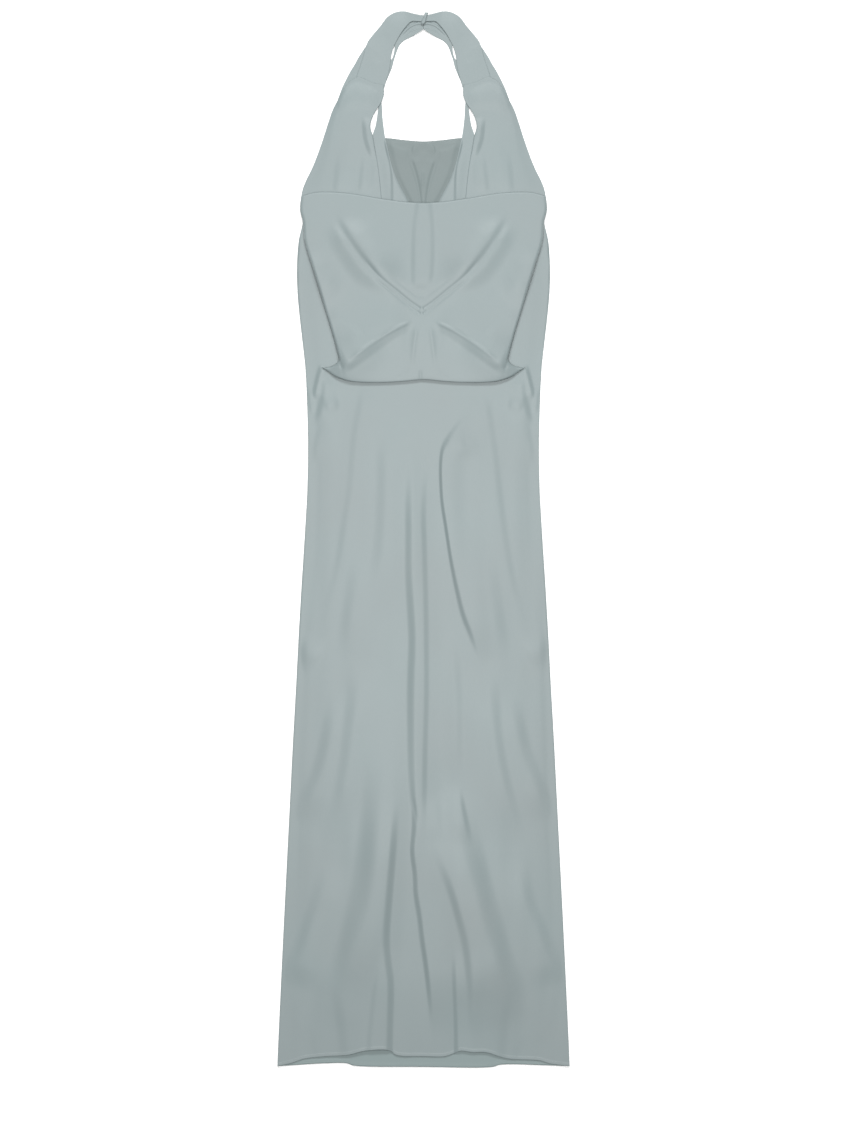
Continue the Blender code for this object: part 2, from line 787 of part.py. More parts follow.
HALTER_PUFF_WIDTH = 9.0
HALTER_SEAM_SHARE = 0.22
HALTER_FLATTENS = (238.0, 262.0)  # the drops between which it flattens under the cowl


def halter_grid():
    grid, u, v = panel_patch(HALTER, crowded(11, [(1.0, 0.8, 0.1)]), crowded(16, [(0.0, 1.5, 0.08)]))
    puff = HALTER_PUFF * (1.0 - np.exp(-from_nearer_edge(grid, u) / HALTER_PUFF_WIDTH))
    lift = puff + fold_rise(HALTER_FOLDS, grid[..., 0], grid[..., 1])
    lift *= smoothstep(0.0, HALTER_SEAM_SHARE, v) * (1.0 - smoothstep(*HALTER_FLATTENS, grid[..., 1]))
    return grid, never_below_zero(lift)


FACING_FOLD = [
    Fold("trough", 1.0, 2.4, 0.3, 0.02, [(-53, 180), (-50, 195), (-48, 216), (-46, 237), (-43, 285)]),
]
FACING_PUFF = 1.0
FACING_PUFF_WIDTH = 4.0
FACING_WIDENS = (0.35, 0.6)  # the shares of its length over which it widens
BESIDE_HALTER = (2.0, 9.0)  # it lies flat beside the halter's edge and rises over this width


def facing_grid():
    grid, u, v = panel_patch(FACING, np.linspace(0.0, 1.0, 9), np.linspace(0.0, 1.0, 15))
    puff = FACING_PUFF * (1.0 - np.exp(-(1.0 - u) * grid_width(grid) / FACING_PUFF_WIDTH))
    from_halter, _ = nearest_on_path([place[:2] for place in HALTER.right], grid[..., 0], grid[..., 1])
    lift = (puff + fold_rise(FACING_FOLD, grid[..., 0], grid[..., 1])) * smoothstep(*FACING_WIDENS, v)
    return grid, never_below_zero(lift) * smoothstep(*BESIDE_HALTER, from_halter)


BAND_FOLDS = [
    Fold("trough", 1.2, 1.8, 0.02, 0.5, [(-2, 9.5), (-10, 9), (-20, 9)]),
    Fold("trough", 1.0, 1.8, 0.02, 0.5, [(-2, 13), (-10, 13), (-18, 14)]),
]


BAND_PUFF_WIDTH = 5.0
BAND_FILLS = 0.25  # the share of its length over which it rises from the nape
BAND_FLATTENS = (0.72, 0.9)


def band_grid():
    grid, u, v = panel_patch(NECK_BAND, np.linspace(0.0, 1.0, 7), crowded(18, [(0.0, 1.5, 0.08)]))
    puff = BAND_PUFF * (1.0 - np.exp(-from_nearer_edge(grid, u) / BAND_PUFF_WIDTH))
    lift = puff * smoothstep(0.0, BAND_FILLS, v) * (1.0 - smoothstep(*BAND_FLATTENS, v))
    return grid, never_below_zero(lift + fold_rise(BAND_FOLDS, grid[..., 0], grid[..., 1]))


UNDER_FOLDS = [
    Fold("ridge", 1.2, 2.4, 0.2, 0.4, [(-4, 20), (-14, 24.5), (-23, 32), (-31, 42)]),
]


UNDER_FLATTENS = (0.12, 0.22)


def under_grid():
    grid, _, v = panel_patch(NECK_UNDER, np.linspace(0.0, 1.0, 6), crowded(24, [(0.1, 0.6, 0.1)]))
    fold = fold_rise(UNDER_FOLDS, grid[..., 0], grid[..., 1]) * (1.0 - smoothstep(*UNDER_FLATTENS, v))
    return grid, never_below_zero(fold)


def make_halter_side(side, turn):
    """The four cloth pieces of one side; turn carries the left side's grid to this side."""
    for name, made in (
        ("halter_", halter_grid()),
        ("facing_", facing_grid()),
        ("neck_band_", band_grid()),
        ("neck_under_", under_grid()),
    ):
        grid, lift = made
        cloth_wall(name + side, turn(grid), lift)


# The nape loop: a narrow strip of cloth bound round the gathered ends of both sides


LOOP_DROP = (4.3, 29.4)
LOOP_RISE = (1.2, 9.0)
LOOP_HALF_WIDTH = 2.6
LOOP_HALF_THICKNESS = 1.1
LOOP_SLANT = 4.5
LOOP_STEPS = 24
LOOP_SIDES = 6


def make_nape_loop():
    middle_drop, half_drop = sum(LOOP_DROP) / 2, (LOOP_DROP[1] - LOOP_DROP[0]) / 2
    middle_rise, half_rise = sum(LOOP_RISE) / 2, (LOOP_RISE[1] - LOOP_RISE[0]) / 2
    points, faces = [], []
    for i in range(LOOP_STEPS):
        turn = 2 * math.pi * i / LOOP_STEPS
        outward = (math.cos(turn), math.sin(turn))
        squared = (outward[0] ** 4 + outward[1] ** 4) ** -0.25
        drop = middle_drop - half_drop * squared * outward[0]
        rise = middle_rise + half_rise * squared * outward[1]
        slant = LOOP_SLANT * outward[0] * max(outward[1], 0.0)
        for k in range(LOOP_SIDES):
            round_turn = 2 * math.pi * k / LOOP_SIDES
            across = LOOP_HALF_WIDTH * math.cos(round_turn)
            out = LOOP_HALF_THICKNESS * math.sin(round_turn)
            place = (slant + across, drop - out * outward[0], rise + out * outward[1])
            points.append(in_metres(place))
    for i in range(LOOP_STEPS):
        for k in range(LOOP_SIDES):
            after, beside = (i + 1) % LOOP_STEPS, (k + 1) % LOOP_SIDES
            a, b = i * LOOP_SIDES + k, i * LOOP_SIDES + beside
            c, d = after * LOOP_SIDES + beside, after * LOOP_SIDES + k
            faces.append((a, b, c, d))
    mesh = bpy.data.meshes.new("nape_loop")
    mesh.from_pydata(points, [], faces)
    mesh.shade_smooth()
    mesh.materials.append(satin_material("nape_loop_satin", SATIN))
    made = bpy.data.objects.new("nape_loop", mesh)
    bpy.context.scene.collection.objects.link(made)
    return made


def main():
    for leftover in list(bpy.data.objects):
        bpy.data.objects.remove(leftover)
    make_back_panel()
    make_front_panel()
    make_cowl()
    make_halter_side("left", lambda grid: grid)
    make_halter_side("right", other_side)
    make_nape_loop()


main()
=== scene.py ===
import math
from collections import namedtuple

import bpy
import numpy as np
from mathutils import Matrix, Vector


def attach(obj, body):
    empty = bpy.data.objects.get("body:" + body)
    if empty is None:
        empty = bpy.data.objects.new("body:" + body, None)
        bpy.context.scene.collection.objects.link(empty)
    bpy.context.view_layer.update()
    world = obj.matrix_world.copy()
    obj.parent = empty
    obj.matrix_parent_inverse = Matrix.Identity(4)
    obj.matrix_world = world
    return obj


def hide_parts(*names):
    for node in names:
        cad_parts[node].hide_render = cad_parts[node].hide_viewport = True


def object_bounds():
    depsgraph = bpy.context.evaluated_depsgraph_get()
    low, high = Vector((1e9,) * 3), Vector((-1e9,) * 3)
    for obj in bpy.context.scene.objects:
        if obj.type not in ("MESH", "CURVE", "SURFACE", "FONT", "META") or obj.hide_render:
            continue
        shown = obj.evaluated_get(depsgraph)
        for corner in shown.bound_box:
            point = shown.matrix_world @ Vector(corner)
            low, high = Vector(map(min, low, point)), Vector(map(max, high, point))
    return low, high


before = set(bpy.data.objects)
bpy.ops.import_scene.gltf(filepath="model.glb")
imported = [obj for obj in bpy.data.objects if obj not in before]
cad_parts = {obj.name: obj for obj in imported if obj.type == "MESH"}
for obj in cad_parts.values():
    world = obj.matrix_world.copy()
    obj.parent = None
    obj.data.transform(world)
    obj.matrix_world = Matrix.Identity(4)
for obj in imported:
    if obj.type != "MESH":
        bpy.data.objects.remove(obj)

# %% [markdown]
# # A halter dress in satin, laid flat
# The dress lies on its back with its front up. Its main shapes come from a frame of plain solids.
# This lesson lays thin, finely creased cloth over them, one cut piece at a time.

MM = 0.001
frame_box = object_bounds()
DRESS_LENGTH = (frame_box[1].y - frame_box[0].y) / MM
print("frame, mm:", [round(v / MM) for corner in frame_box for v in corner])

# %% [markdown]
# ## Colours and nodes
# Colours are picked as sRGB hex values, because that is how a swatch is read. Blender's shaders work
# in linear light, so one function turns them over.

# %% Two small helpers


def linear(hex_colour):
    """An sRGB hex colour as linear red, green, blue and alpha."""
    parts = [int(hex_colour[i : i + 2], 16) / 255 for i in (1, 3, 5)]
    return [c / 12.92 if c <= 0.04045 else ((c + 0.055) / 1.055) ** 2.4 for c in parts] + [1.0]


def add_node(tree, kind, settings=None, **links):
    """A new node with its settings, and its inputs set to values or linked to sockets."""
    node = tree.nodes.new(kind)
    for name, value in (settings or {}).items():
        setattr(node, name, value)
    for name, value in links.items():
        socket = node.inputs[int(name[1:])] if name[1:].isdigit() else node.inputs[name.replace("_", " ")]
        if isinstance(value, bpy.types.NodeSocket):
            tree.links.new(value, socket)
        else:
            socket.default_value = value
    return node


# %% [markdown]
# ## Silk satin
# Satin is woven with long floating warp threads, so one face is smooth and takes a soft gloss, and
# the other is dull and a little darker. The dress is cut on the bias: the threads lie at 45 degrees
# to its length. The gloss is a dielectric one of medium roughness, which brightens what lies level
# and drops on the slopes of a crease, and that is what draws the folds.
#
# Real threads stand about 0.1 mm apart. They are drawn at 0.6 mm, so that a close view shows them.

# %% Satin, face and inside
THREAD_SPACING = 0.6 * MM
WAVE_PERIOD = math.pi / 10
CREPE_GRAIN = 1.6 * MM
TONE_PATCH = 140 * MM


def silk_satin(name, colour, warm_colour, roughness, thread_depth):
    material = bpy.data.materials.new(name)
    material.use_nodes = True
    tree = material.node_tree
    shader = tree.nodes["Principled BSDF"]
    shader.inputs["IOR"].default_value = 1.5
    shader.inputs["Sheen Weight"].default_value = 0.12
    shader.inputs["Sheen Roughness"].default_value = 0.45

    place = add_node(tree, "ShaderNodeTexCoord").outputs["Object"]
    on_bias = add_node(
        tree, "ShaderNodeMapping", Vector=place, Rotation=(0, 0, math.radians(45))
    ).outputs["Vector"]
    threads = [
        add_node(
            tree,
            "ShaderNodeTexWave",
            {"wave_type": "BANDS", "bands_direction": direction},
            Vector=on_bias,
            Scale=WAVE_PERIOD / THREAD_SPACING,
            Distortion=0.4,
        ).outputs["Fac"]
        for direction in ("X", "Y")
    ]
    weave = add_node(tree, "ShaderNodeMath", {"operation": "MAXIMUM"}, _0=threads[0], _1=threads[1])
    grain = add_node(
        tree, "ShaderNodeTexNoise", Vector=place, Scale=1 / CREPE_GRAIN, Detail=3.0, Roughness=0.6
    )
    surface = add_node(
        tree, "ShaderNodeMath", {"operation": "MULTIPLY_ADD"}, _0=grain.outputs["Fac"], _1=0.6,
        _2=weave.outputs["Value"],
    )
    bump = add_node(
        tree, "ShaderNodeBump", Height=surface.outputs["Value"], Distance=thread_depth, Strength=0.35
    )
    tree.links.new(bump.outputs["Normal"], shader.inputs["Normal"])

    patches = add_node(tree, "ShaderNodeTexNoise", Vector=place, Scale=1 / TONE_PATCH, Detail=2.0)
    tone = add_node(
        tree, "ShaderNodeMix", {"data_type": "RGBA"}, _0=patches.outputs["Fac"], _6=linear(colour),
        _7=linear(warm_colour),
    )
    tree.links.new(tone.outputs[2], shader.inputs["Base Color"])
    gloss = add_node(
        tree, "ShaderNodeMapRange", Value=patches.outputs["Fac"], To_Min=roughness - 0.03,
        To_Max=roughness + 0.03,
    )
    tree.links.new(gloss.outputs["Result"], shader.inputs["Roughness"])
    return material


SATIN_FACE = silk_satin("silk_satin_face", "#7a8889", "#7f8889", 0.46, 0.05 * MM)
# The inside's colour is darker than the dull reverse alone: part of it is painted shade for the neck opening.
SATIN_INSIDE_WITH_PAINTED_SHADE = silk_satin("silk_satin_inside_painted_shade", "#6d7a7a", "#727b7b", 0.6, 0.08 * MM)
print("materials:", SATIN_FACE.name, SATIN_INSIDE_WITH_PAINTED_SHADE.name)

# %% [markdown]
# The inside's colour is darker partly as painted shade for the neck opening. The strip of it that
# shows below the front hem gets no painted shade: below a set height the inside's own shader takes a
# paler colour, as pale as the front. The change lies under the front hem, out of sight.

# %% Hem without the painted shade
UNSHADED_HEM_TOP = -690 * MM


def hem_without_painted_shade(material, hex_colour):
    tree = material.node_tree
    base = tree.nodes["Principled BSDF"].inputs["Base Color"]
    place = add_node(tree, "ShaderNodeTexCoord").outputs["Object"]
    height = add_node(tree, "ShaderNodeSeparateXYZ", Vector=place).outputs["Y"]
    # Below the given height the inside's painted shade is left out: the base colour becomes a paler one.
    below = add_node(tree, "ShaderNodeMath", {"operation": "LESS_THAN"}, _0=height, _1=UNSHADED_HEM_TOP)
    unshaded = add_node(
        tree, "ShaderNodeMix", {"data_type": "RGBA"}, _0=below.outputs["Value"],
        _6=base.links[0].from_socket, _7=linear(hex_colour),
    )
    tree.links.new(unshaded.outputs[2], base)


hem_without_painted_shade(SATIN_INSIDE_WITH_PAINTED_SHADE, "#7d8b8b")
print("hem faced below", UNSHADED_HEM_TOP / MM, "mm")

# %% [markdown]
# Sewing thread is twisted polyester: slightly duller and darker than the satin it is matched to.

# %% Thread


def twisted_thread():
    material = bpy.data.materials.new("twisted_polyester_thread")
    material.use_nodes = True
    tree = material.node_tree
    shader = tree.nodes["Principled BSDF"]
    shader.inputs["Roughness"].default_value = 0.55
    place = add_node(tree, "ShaderNodeTexCoord").outputs["Object"]
    ply = add_node(tree, "ShaderNodeTexNoise", Vector=place, Scale=900.0)
    tone = add_node(
        tree, "ShaderNodeMix", {"data_type": "RGBA"}, _0=ply.outputs["Fac"], _6=linear("#7d8888"),
        _7=linear("#98a3a3"),
    )
    tree.links.new(tone.outputs[2], shader.inputs["Base Color"])
    return material


THREAD = twisted_thread()
print("material:", THREAD.name)

# %% [markdown]
# ## Places on the garment
# Every place is written as a dressmaker would measure it on the table, in millimetres: x from the
# centre line, drop below the top of the neck, and rise above the table. A few listed points
# make each edge, and a smooth curve runs through them.

# %% Smooth curves


def smoothstep(low, high, value):
    share = np.clip((value - low) / (high - low), 0.0, 1.0)
    return share * share * (3.0 - 2.0 * share)


def dense_curve(points, steps=12):
    """A smooth curve through given points, read at several steps in each span."""
    points = np.array(points, float)
    if len(points) == 2:
        return points
    spans = np.linalg.norm(np.diff(points[:, :2], axis=0), axis=1) ** 0.5
    chords = np.diff(points, axis=0) / spans[:, None]
    before, after = spans[:-1, None], spans[1:, None]
    inner = (chords[:-1] * after + chords[1:] * before) / (before + after)
    slopes = np.concatenate([chords[:1], inner, chords[-1:]])
    t = np.linspace(0.0, 1.0, steps + 1)[1:, None]
    curve = [points[:1]]
    for i, span in enumerate(spans):
        ends = (2 * t**3 - 3 * t**2 + 1) * points[i] + (3 * t**2 - 2 * t**3) * points[i + 1]
        bends = (t**3 - 2 * t**2 + t) * slopes[i] + (t**3 - t**2) * slopes[i + 1]
        curve.append(ends + span * bends)
    return np.concatenate(curve)


def curve_at(points, fractions):
    """Points at these fractions of the curve's length, in an array shaped like fractions."""
    curve = dense_curve(points)
    lengths = np.linalg.norm(np.diff(curve[:, :2], axis=0), axis=1)
    along = np.concatenate([[0.0], np.cumsum(lengths)]) / lengths.sum()
    return np.stack([np.interp(fractions, along, column) for column in curve.T], axis=-1)


# %% [markdown]
# A cut piece is the cloth between four edges. A Coons patch fills it: it blends the top edge into the
# bottom one and the left edge into the right one, so all four are met exactly. Rows and columns
# stand closer where a crease is sharp or an edge rolls over.

# %% Patches between four edges
Edges = namedtuple("Edges", "top bottom left right")


def crowded(count, spots=()):
    """Fractions from 0 to 1 that stand closer at the given spots of (place, extra, width)."""
    place = np.linspace(0.0, 1.0, 800)
    density = 1.0 + sum(extra * np.exp(-(((place - centre) / width) ** 2)) for centre, extra, width in spots)
    density = density * np.ones_like(place)
    total = np.concatenate([[0.0], np.cumsum((density[1:] + density[:-1]) / 2)])
    return np.interp(np.linspace(0.0, total[-1], count + 1), total, place)


ROLL_STEPS = 7


def rolled(count, first_roll, last_roll, spots=()):
    """Crowded fractions whose two ends are spaced round a quarter circle, each roll as a fraction."""
    arc = 1 - np.cos(np.linspace(0, math.pi / 2, ROLL_STEPS + 1))[:-1]
    middle = first_roll + (1 - first_roll - last_roll) * crowded(count, spots)
    first = arc * first_roll if first_roll else []
    last = 1 - arc[::-1] * last_roll if last_roll else []
    return np.concatenate([first, middle, last])


def panel_patch(edges, across, down):
    """Rows of (x, drop, rise) between four edges."""
    u, v = np.meshgrid(across, down)
    u3, v3 = u[..., None], v[..., None]
    top, bottom = curve_at(edges.top, u), curve_at(edges.bottom, u)
    left, right = curve_at(edges.left, v), curve_at(edges.right, v)
    first, last = np.array(edges.top, float)[[0, -1]]
    low_first, low_last = np.array(edges.bottom, float)[[0, -1]]
    corners = (1 - v3) * ((1 - u3) * first + u3 * last) + v3 * ((1 - u3) * low_first + u3 * low_last)
    return (1 - v3) * top + v3 * bottom + (1 - u3) * left + u3 * right - corners, u, v


def rounding(distance, radius):
    """A quarter circle: 0 at an edge, 1 from radius inwards."""
    inward = np.clip(distance / radius, 0.0, 1.0)
    return np.sqrt(1.0 - (1.0 - inward) ** 2)


# %% [markdown]
# ## Creases
# A crease is a short listed path, and a section that lifts or sinks the cloth on both sides of
# it. It fades in and out along its length, as real ones do. Three sections are enough for satin that
# has been laid out and smoothed by hand: a soft ridge, a crease, and a step, where the cloth on one side
# of the path stands higher and comes down again over a longer way, its tail.

# %% Creases along paths
Fold = namedtuple("Fold", "kind height width fade_in fade_out path tail", defaults=[0])
CREASE_CORE = 0.6


def nearest_on_path(path, x, drop, reach):
    """Signed distance to a path, positive on its +x side, and how far along it that is."""
    line = dense_curve(path, 4)
    starts, steps = line[:-1], np.diff(line, axis=0)
    lengths = np.linalg.norm(steps, axis=1)
    reached = np.concatenate([[0.0], np.cumsum(lengths)])
    low, high = line.min(axis=0) - reach, line.max(axis=0) + reach
    near = (x > low[0]) & (x < high[0]) & (drop > low[1]) & (drop < high[1])
    px, py = x[near], drop[near]
    best, signed, along = np.full(px.shape, np.inf), np.full(px.shape, reach), np.zeros(px.shape)
    for start, step, length, before in zip(starts, steps, lengths, reached):
        share = np.clip(((px - start[0]) * step[0] + (py - start[1]) * step[1]) / length**2, 0.0, 1.0)
        away_x, away_y = px - start[0] - share * step[0], py - start[1] - share * step[1]
        distance = np.hypot(away_x, away_y)
        closer = distance < best
        best = np.where(closer, distance, best)
        signed = np.where(closer, distance * np.sign(away_x * step[1] - away_y * step[0]), signed)
        along = np.where(closer, (before + share * length) / reached[-1], along)
    return near, signed, along


def fold_section(fold, distance):
    if fold.kind == "ridge":
        return np.exp(-((distance / fold.width) ** 2))
    if fold.kind == "crease":
        return -np.exp(-(np.hypot(distance, CREASE_CORE) - CREASE_CORE) / fold.width)
    half = fold.width / 2
    beyond = np.maximum(distance - half, 0.0) / fold.tail
    return smoothstep(-half, half, distance) * np.exp(-(beyond**2))


def fold_rise(folds, x, drop):
    """How far the folds lift the cloth at each place, in millimetres."""
    rise = np.zeros(x.shape)
    for fold in folds:
        reach = max(fold.width * (5 if fold.kind == "crease" else 3), 3 * fold.tail)
        near, distance, along = nearest_on_path(fold.path, x, drop, reach)
        strength = smoothstep(0.0, fold.fade_in, along) * smoothstep(0.0, fold.fade_out, 1.0 - along)
        rise[near] += fold.height * strength * fold_section(fold, distance)
    return rise


def mirrored(folds, share=0.92, lower=1.5, about=0.0):
    """The same folds across an upright line, a little softer and a little lower."""
    return [
        fold._replace(
            height=fold.height * share,
            fade_in=fold.fade_out,
            fade_out=fold.fade_in,
            path=[(2 * about - x, drop + lower) for x, drop in fold.path[::-1]],
        )
        for fold in folds
    ]


def eased(lift, softness=0.6):
    """The lift with its dips eased out, so that cloth never sinks into what it lies on."""
    return lift * smoothstep(0.0, softness, lift)


# %% [markdown]
# ## From a grid to cloth
# The cloth could be a solid with two hand-built faces, but the Solidify modifier does that with less
# work: it gives a single grid a real thickness, measured at right angles to the surface, so the
# cloth stays thin where an edge rolls over.

# %% Making a piece of cloth
SATIN_THICKNESS = 0.5


def in_metres(grid):
    x, drop, rise = np.moveaxis(np.asarray(grid, float), -1, 0)
    return np.stack([x * MM, (DRESS_LENGTH / 2 - drop) * MM, rise * MM], axis=-1)


def make_mesh(name, points, faces, material):
    mesh = bpy.data.meshes.new(name)
    mesh.from_pydata(points.tolist(), [], faces)
    mesh.shade_smooth()
    mesh.materials.append(material)
    piece = bpy.data.objects.new(name, mesh)
    bpy.context.scene.collection.objects.link(piece)
    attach(piece, "root")
    return piece


def grid_faces(rows, columns, flip=False):
    a = (np.arange(rows - 1)[:, None] * columns + np.arange(columns - 1)[None, :]).ravel()
    corners = np.stack([a, a + columns, a + columns + 1, a + 1], axis=1)
    return (corners[:, ::-1] if flip else corners).tolist()


def is_mirrored(grid):
    one, other = grid[1:, 1:, :2] - grid[:-1, :-1, :2], grid[1:, :-1, :2] - grid[:-1, 1:, :2]
    return (one[..., 0] * other[..., 1] - one[..., 1] * other[..., 0]).sum() < 0


def make_cloth(name, grid, material=SATIN_FACE, thickness=SATIN_THICKNESS):
    """A sheet of cloth whose upper face is this grid of (x, drop, rise)."""
    rows, columns = grid.shape[:2]
    piece = make_mesh(
        name, in_metres(grid).reshape(-1, 3), grid_faces(rows, columns, is_mirrored(grid)), material
    )
    body = piece.modifiers.new("cloth thickness", "SOLIDIFY")
    body.thickness = thickness * MM
    body.offset = -1
    body.use_even_offset = False
    print(name, "grid", rows, "x", columns)
    return piece


# %% [markdown]
# ## The outline
# The body's half-width is read down its side: full at the bust, in at the waist, and then flared
# evenly to the hem. Both panels share it, because they are sewn together there.

# %% Half-widths down the side
CLOTH = 1.0
LAYER = 1.4
SIDE = [
    # drop, half_width
    (272, 171.0), (297, 169.0), (321, 174.5), (356, 177.0), (391, 176.5), (426, 173.5), (461, 169.5),
    (496, 165.5), (531, 163.5), (601, 161.5), (671, 162.5), (741, 166.5), (811, 171.0), (881, 175.0),
    (951, 178.5), (1021, 182.5), (1091, 186.0), (1161, 189.5), (1301, 196.5), (1441, 203.0), (1478, 204.5),
]
SIDE_DROPS, SIDE_WIDTHS = np.array(SIDE, float).T


def half_width(drop):
    return np.interp(drop, SIDE_DROPS, SIDE_WIDTHS)


def side_edge(first_drop, last_drop, inset, rise, sign):
    places = [first_drop, *[d for d in SIDE_DROPS if first_drop < d < last_drop], last_drop]
    return [(sign * (half_width(d) - inset), d, rise) for d in places]


def with_rise(table, rise):
    return [(x, drop, rise) for x, drop in table]


# %% [markdown]
# ## Back panel
# The back lies face down on the table, so what shows of it is its duller inside: in the neck
# opening, where its darker colour is partly painted shade, and as a narrow strip at the hem, which
# has no painted shade. Behind the cowl its neckline is gathered by hand into a small arch, with a
# tongue of creases below it.

# %% Back panel's creases
BACK_SIDE_FOLDS = [
    Fold("step", 1.2, 5.0, 0.15, 0.02, [(-17, 205), (-13, 216), (-9, 229), (-5.5, 246), (-3, 268)], 9),
    Fold("step", -0.8, 4.0, 0.3, 0.02, [(-24, 200), (-19, 214), (-13, 232), (-8, 250), (-5, 268)], 12),
    Fold("step", 0.8, 6.0, 0.2, 0.3, [(-18, 195), (-33, 192), (-44, 187), (-54, 180)], 12),
]
BACK_MIDDLE_FOLDS = [
    Fold("ridge", 0.5, 1.6, 0.2, 0.3, [(-0.5, 222), (-1, 236), (-1, 252)]),
    Fold("ridge", 0.5, 7.0, 0.3, 0.5, [(0, 194), (0, 206), (0, 218)]),
    Fold(
        "step", 1.0, 3.0, 0.2, 0.2,
        [(15, 204), (16.2, 196), (14, 189), (7, 185), (-2, 184), (-9, 185.4), (-14, 189), (-16, 196), (-15, 204)],
        8,
    ),
]

# %% Back panel
BACK_NECKLINE = [
    # x, drop
    (-168, 290), (-158, 250), (-140, 215), (-112, 190), (-80, 180), (-54, 178), (-26, 181), (0, 183),
    (26, 181), (54, 178), (80, 180), (112, 190), (140, 215), (158, 250), (168, 290),
]
BACK_HEM = [
    # x, drop
    (-204, 1477), (-138, 1473), (-107, 1473), (-99, 1476), (0, 1478), (97, 1478), (107, 1475),
    (177, 1476), (204, 1477),
]
NECK_OPENING = [
    # drop, half-width between the facings' inner edges
    (176, 54.0), (192, 50.4), (214, 45.2), (232, 38.9), (249, 30.9), (264, 22.8), (287, 13.0),
]
HEM_WIDTH = 4.0
HEM_RISE = 0.2
BACK_INSET = 1.2
BACK_PUFF = 1.3


def hem_step(v, length):
    """A narrow hem is a double layer: a low step that ends where its fold is stitched."""
    return HEM_RISE * (1.0 - smoothstep(HEM_WIDTH - 0.6, HEM_WIDTH + 0.6, (1 - v) * length))


def back_grid():
    left = side_edge(290, BACK_HEM[0][1], BACK_INSET, CLOTH, -1)
    right = side_edge(290, BACK_HEM[-1][1], BACK_INSET, CLOTH, 1)
    neckline = [left[0], *with_rise(BACK_NECKLINE[1:-1], CLOTH), right[0]]
    hem = [left[-1], *with_rise(BACK_HEM[1:-1], CLOTH), right[-1]]
    across = crowded(130, [(0.5, 6.0, 0.07)])
    down = crowded(160, [(0.0, 14.0, 0.06), (1.0, 9.0, 0.006)])
    grid, u, v = panel_patch(Edges(neckline, hem, left, right), across, down)
    x, drop = grid[..., 0], grid[..., 1]
    lift = fold_rise(BACK_SIDE_FOLDS + mirrored(BACK_SIDE_FOLDS) + BACK_MIDDLE_FOLDS, x, drop)
    lift = eased((lift + BACK_PUFF) * smoothstep(179.0, 186.0, drop) * (1.0 - smoothstep(272.0, 284.0, drop)))
    opening = np.interp(drop, *np.array(NECK_OPENING).T)
    lift *= 1.0 - smoothstep(opening - 8.0, opening - 1.0, np.abs(x))
    neck_edge = HEM_RISE * (1.0 - smoothstep(3.0, 4.2, v * 1290.0))
    grid[..., 2] += lift + neck_edge + hem_step(v, 1290.0)
    return grid


back_surface = back_grid()
back_panel = make_cloth("back_panel_cloth", back_surface, SATIN_INSIDE_WITH_PAINTED_SHADE, 0.8)
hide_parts("back_panel")

# %% [markdown]
# ## Front panel
# The front runs from under the cowl to the hem. It rests on the back, puffed up by the air between
# the layers, so it is highest along the middle and comes down round at the side seams. Its creases
# were smoothed downwards: two long ones run down the centre, a deeper tuck curves over the right
# hip, and the flare gathers into flutes at the hem.

# %% The skirt's creases
WAIST_FOLDS = [
    Fold(
        "step", 0.8, 12.0, 0.1, 0.3,
        [(-84, 518), (-90, 552), (-98, 600), (-104, 670), (-111, 715), (-119, 765), (-130, 815), (-145, 872)], 30,
    ),
    Fold(
        "step", 0.8, 12.0, 0.3, 0.1,
        [(148, 872), (127, 805), (117, 750), (110, 700), (104, 650), (98, 600), (92, 560), (85, 530)], 30,
    ),
    Fold("step", 1.7, 20.0, 0.25, 0.35, [(-66, 572), (-61, 612), (-60, 660), (-62, 720), (-67, 780), (-74, 850)], 30),
    Fold("step", 1.2, 20.0, 0.4, 0.4, [(-92, 740), (-100, 800), (-110, 860), (-118, 915)], 35),
    Fold("step", 1.2, 20.0, 0.4, 0.4, [(118, 915), (108, 860), (100, 800), (94, 740)], 35),
    Fold("ridge", 1.3, 16.0, 0.4, 0.4, [(-176, 900), (-158, 900), (-140, 908)]),
    Fold("ridge", 1.3, 16.0, 0.4, 0.4, [(140, 905), (158, 897), (176, 897)]),
]
CENTRE_FOLDS = [
    Fold(
        "step", 2.6, 14.0, 0.2, 0.22,
        [
            (-14, 610), (-19, 640), (-21, 675), (-21, 730), (-21, 790), (-18, 840), (-16, 880),
            (-18, 940), (-18, 1010), (-17, 1065), (-15, 1105), (-14, 1150), (-16, 1190),
        ],
        26,
    ),
    Fold(
        "step", 3.0, 8.0, 0.33, 0.25,
        [
            (-16, 1060), (-14, 1110), (-13, 1140), (-16, 1175), (-12, 1208), (-11, 1235), (-6, 1265),
            (-2, 1300), (4, 1342), (10, 1400), (12, 1440),
        ],
        80,
    ),
    Fold("crease", 0.8, 2.4, 0.4, 0.4, [(-16, 1098), (-12, 1120), (-8, 1142)]),
    Fold(
        "step", -1.1, 9.5, 0.25, 0.2,
        [
            (18, 606), (11, 622), (4, 650), (0, 700), (1, 745), (3, 820), (4, 900), (4, 960), (2, 1040),
            (1, 1110), (0, 1175),
        ],
        30,
    ),
    Fold("step", 0.45, 12.0, 0.4, 0.4, [(28, 1165), (23, 1130), (20, 1095)], 20),
]
HIP_TUCK = [
    (66, 558), (54, 573), (44, 585), (34, 599), (27, 612), (24, 630), (24, 660), (26, 690), (31, 722),
    (38, 768), (46, 808), (56, 848), (64, 868), (72, 890), (82, 918),
]
HIP_FOLDS = [
    Fold("step", 2.6, 5.0, 0.16, 0.2, HIP_TUCK, 32),
    Fold("ridge", 1.4, 15.0, 0.5, 0.5, [(26, 616), (50, 611), (80, 602)]),
    Fold("crease", 0.5, 1.2, 0.3, 0.3, [(43, 611), (56, 606), (70, 602)]),
]
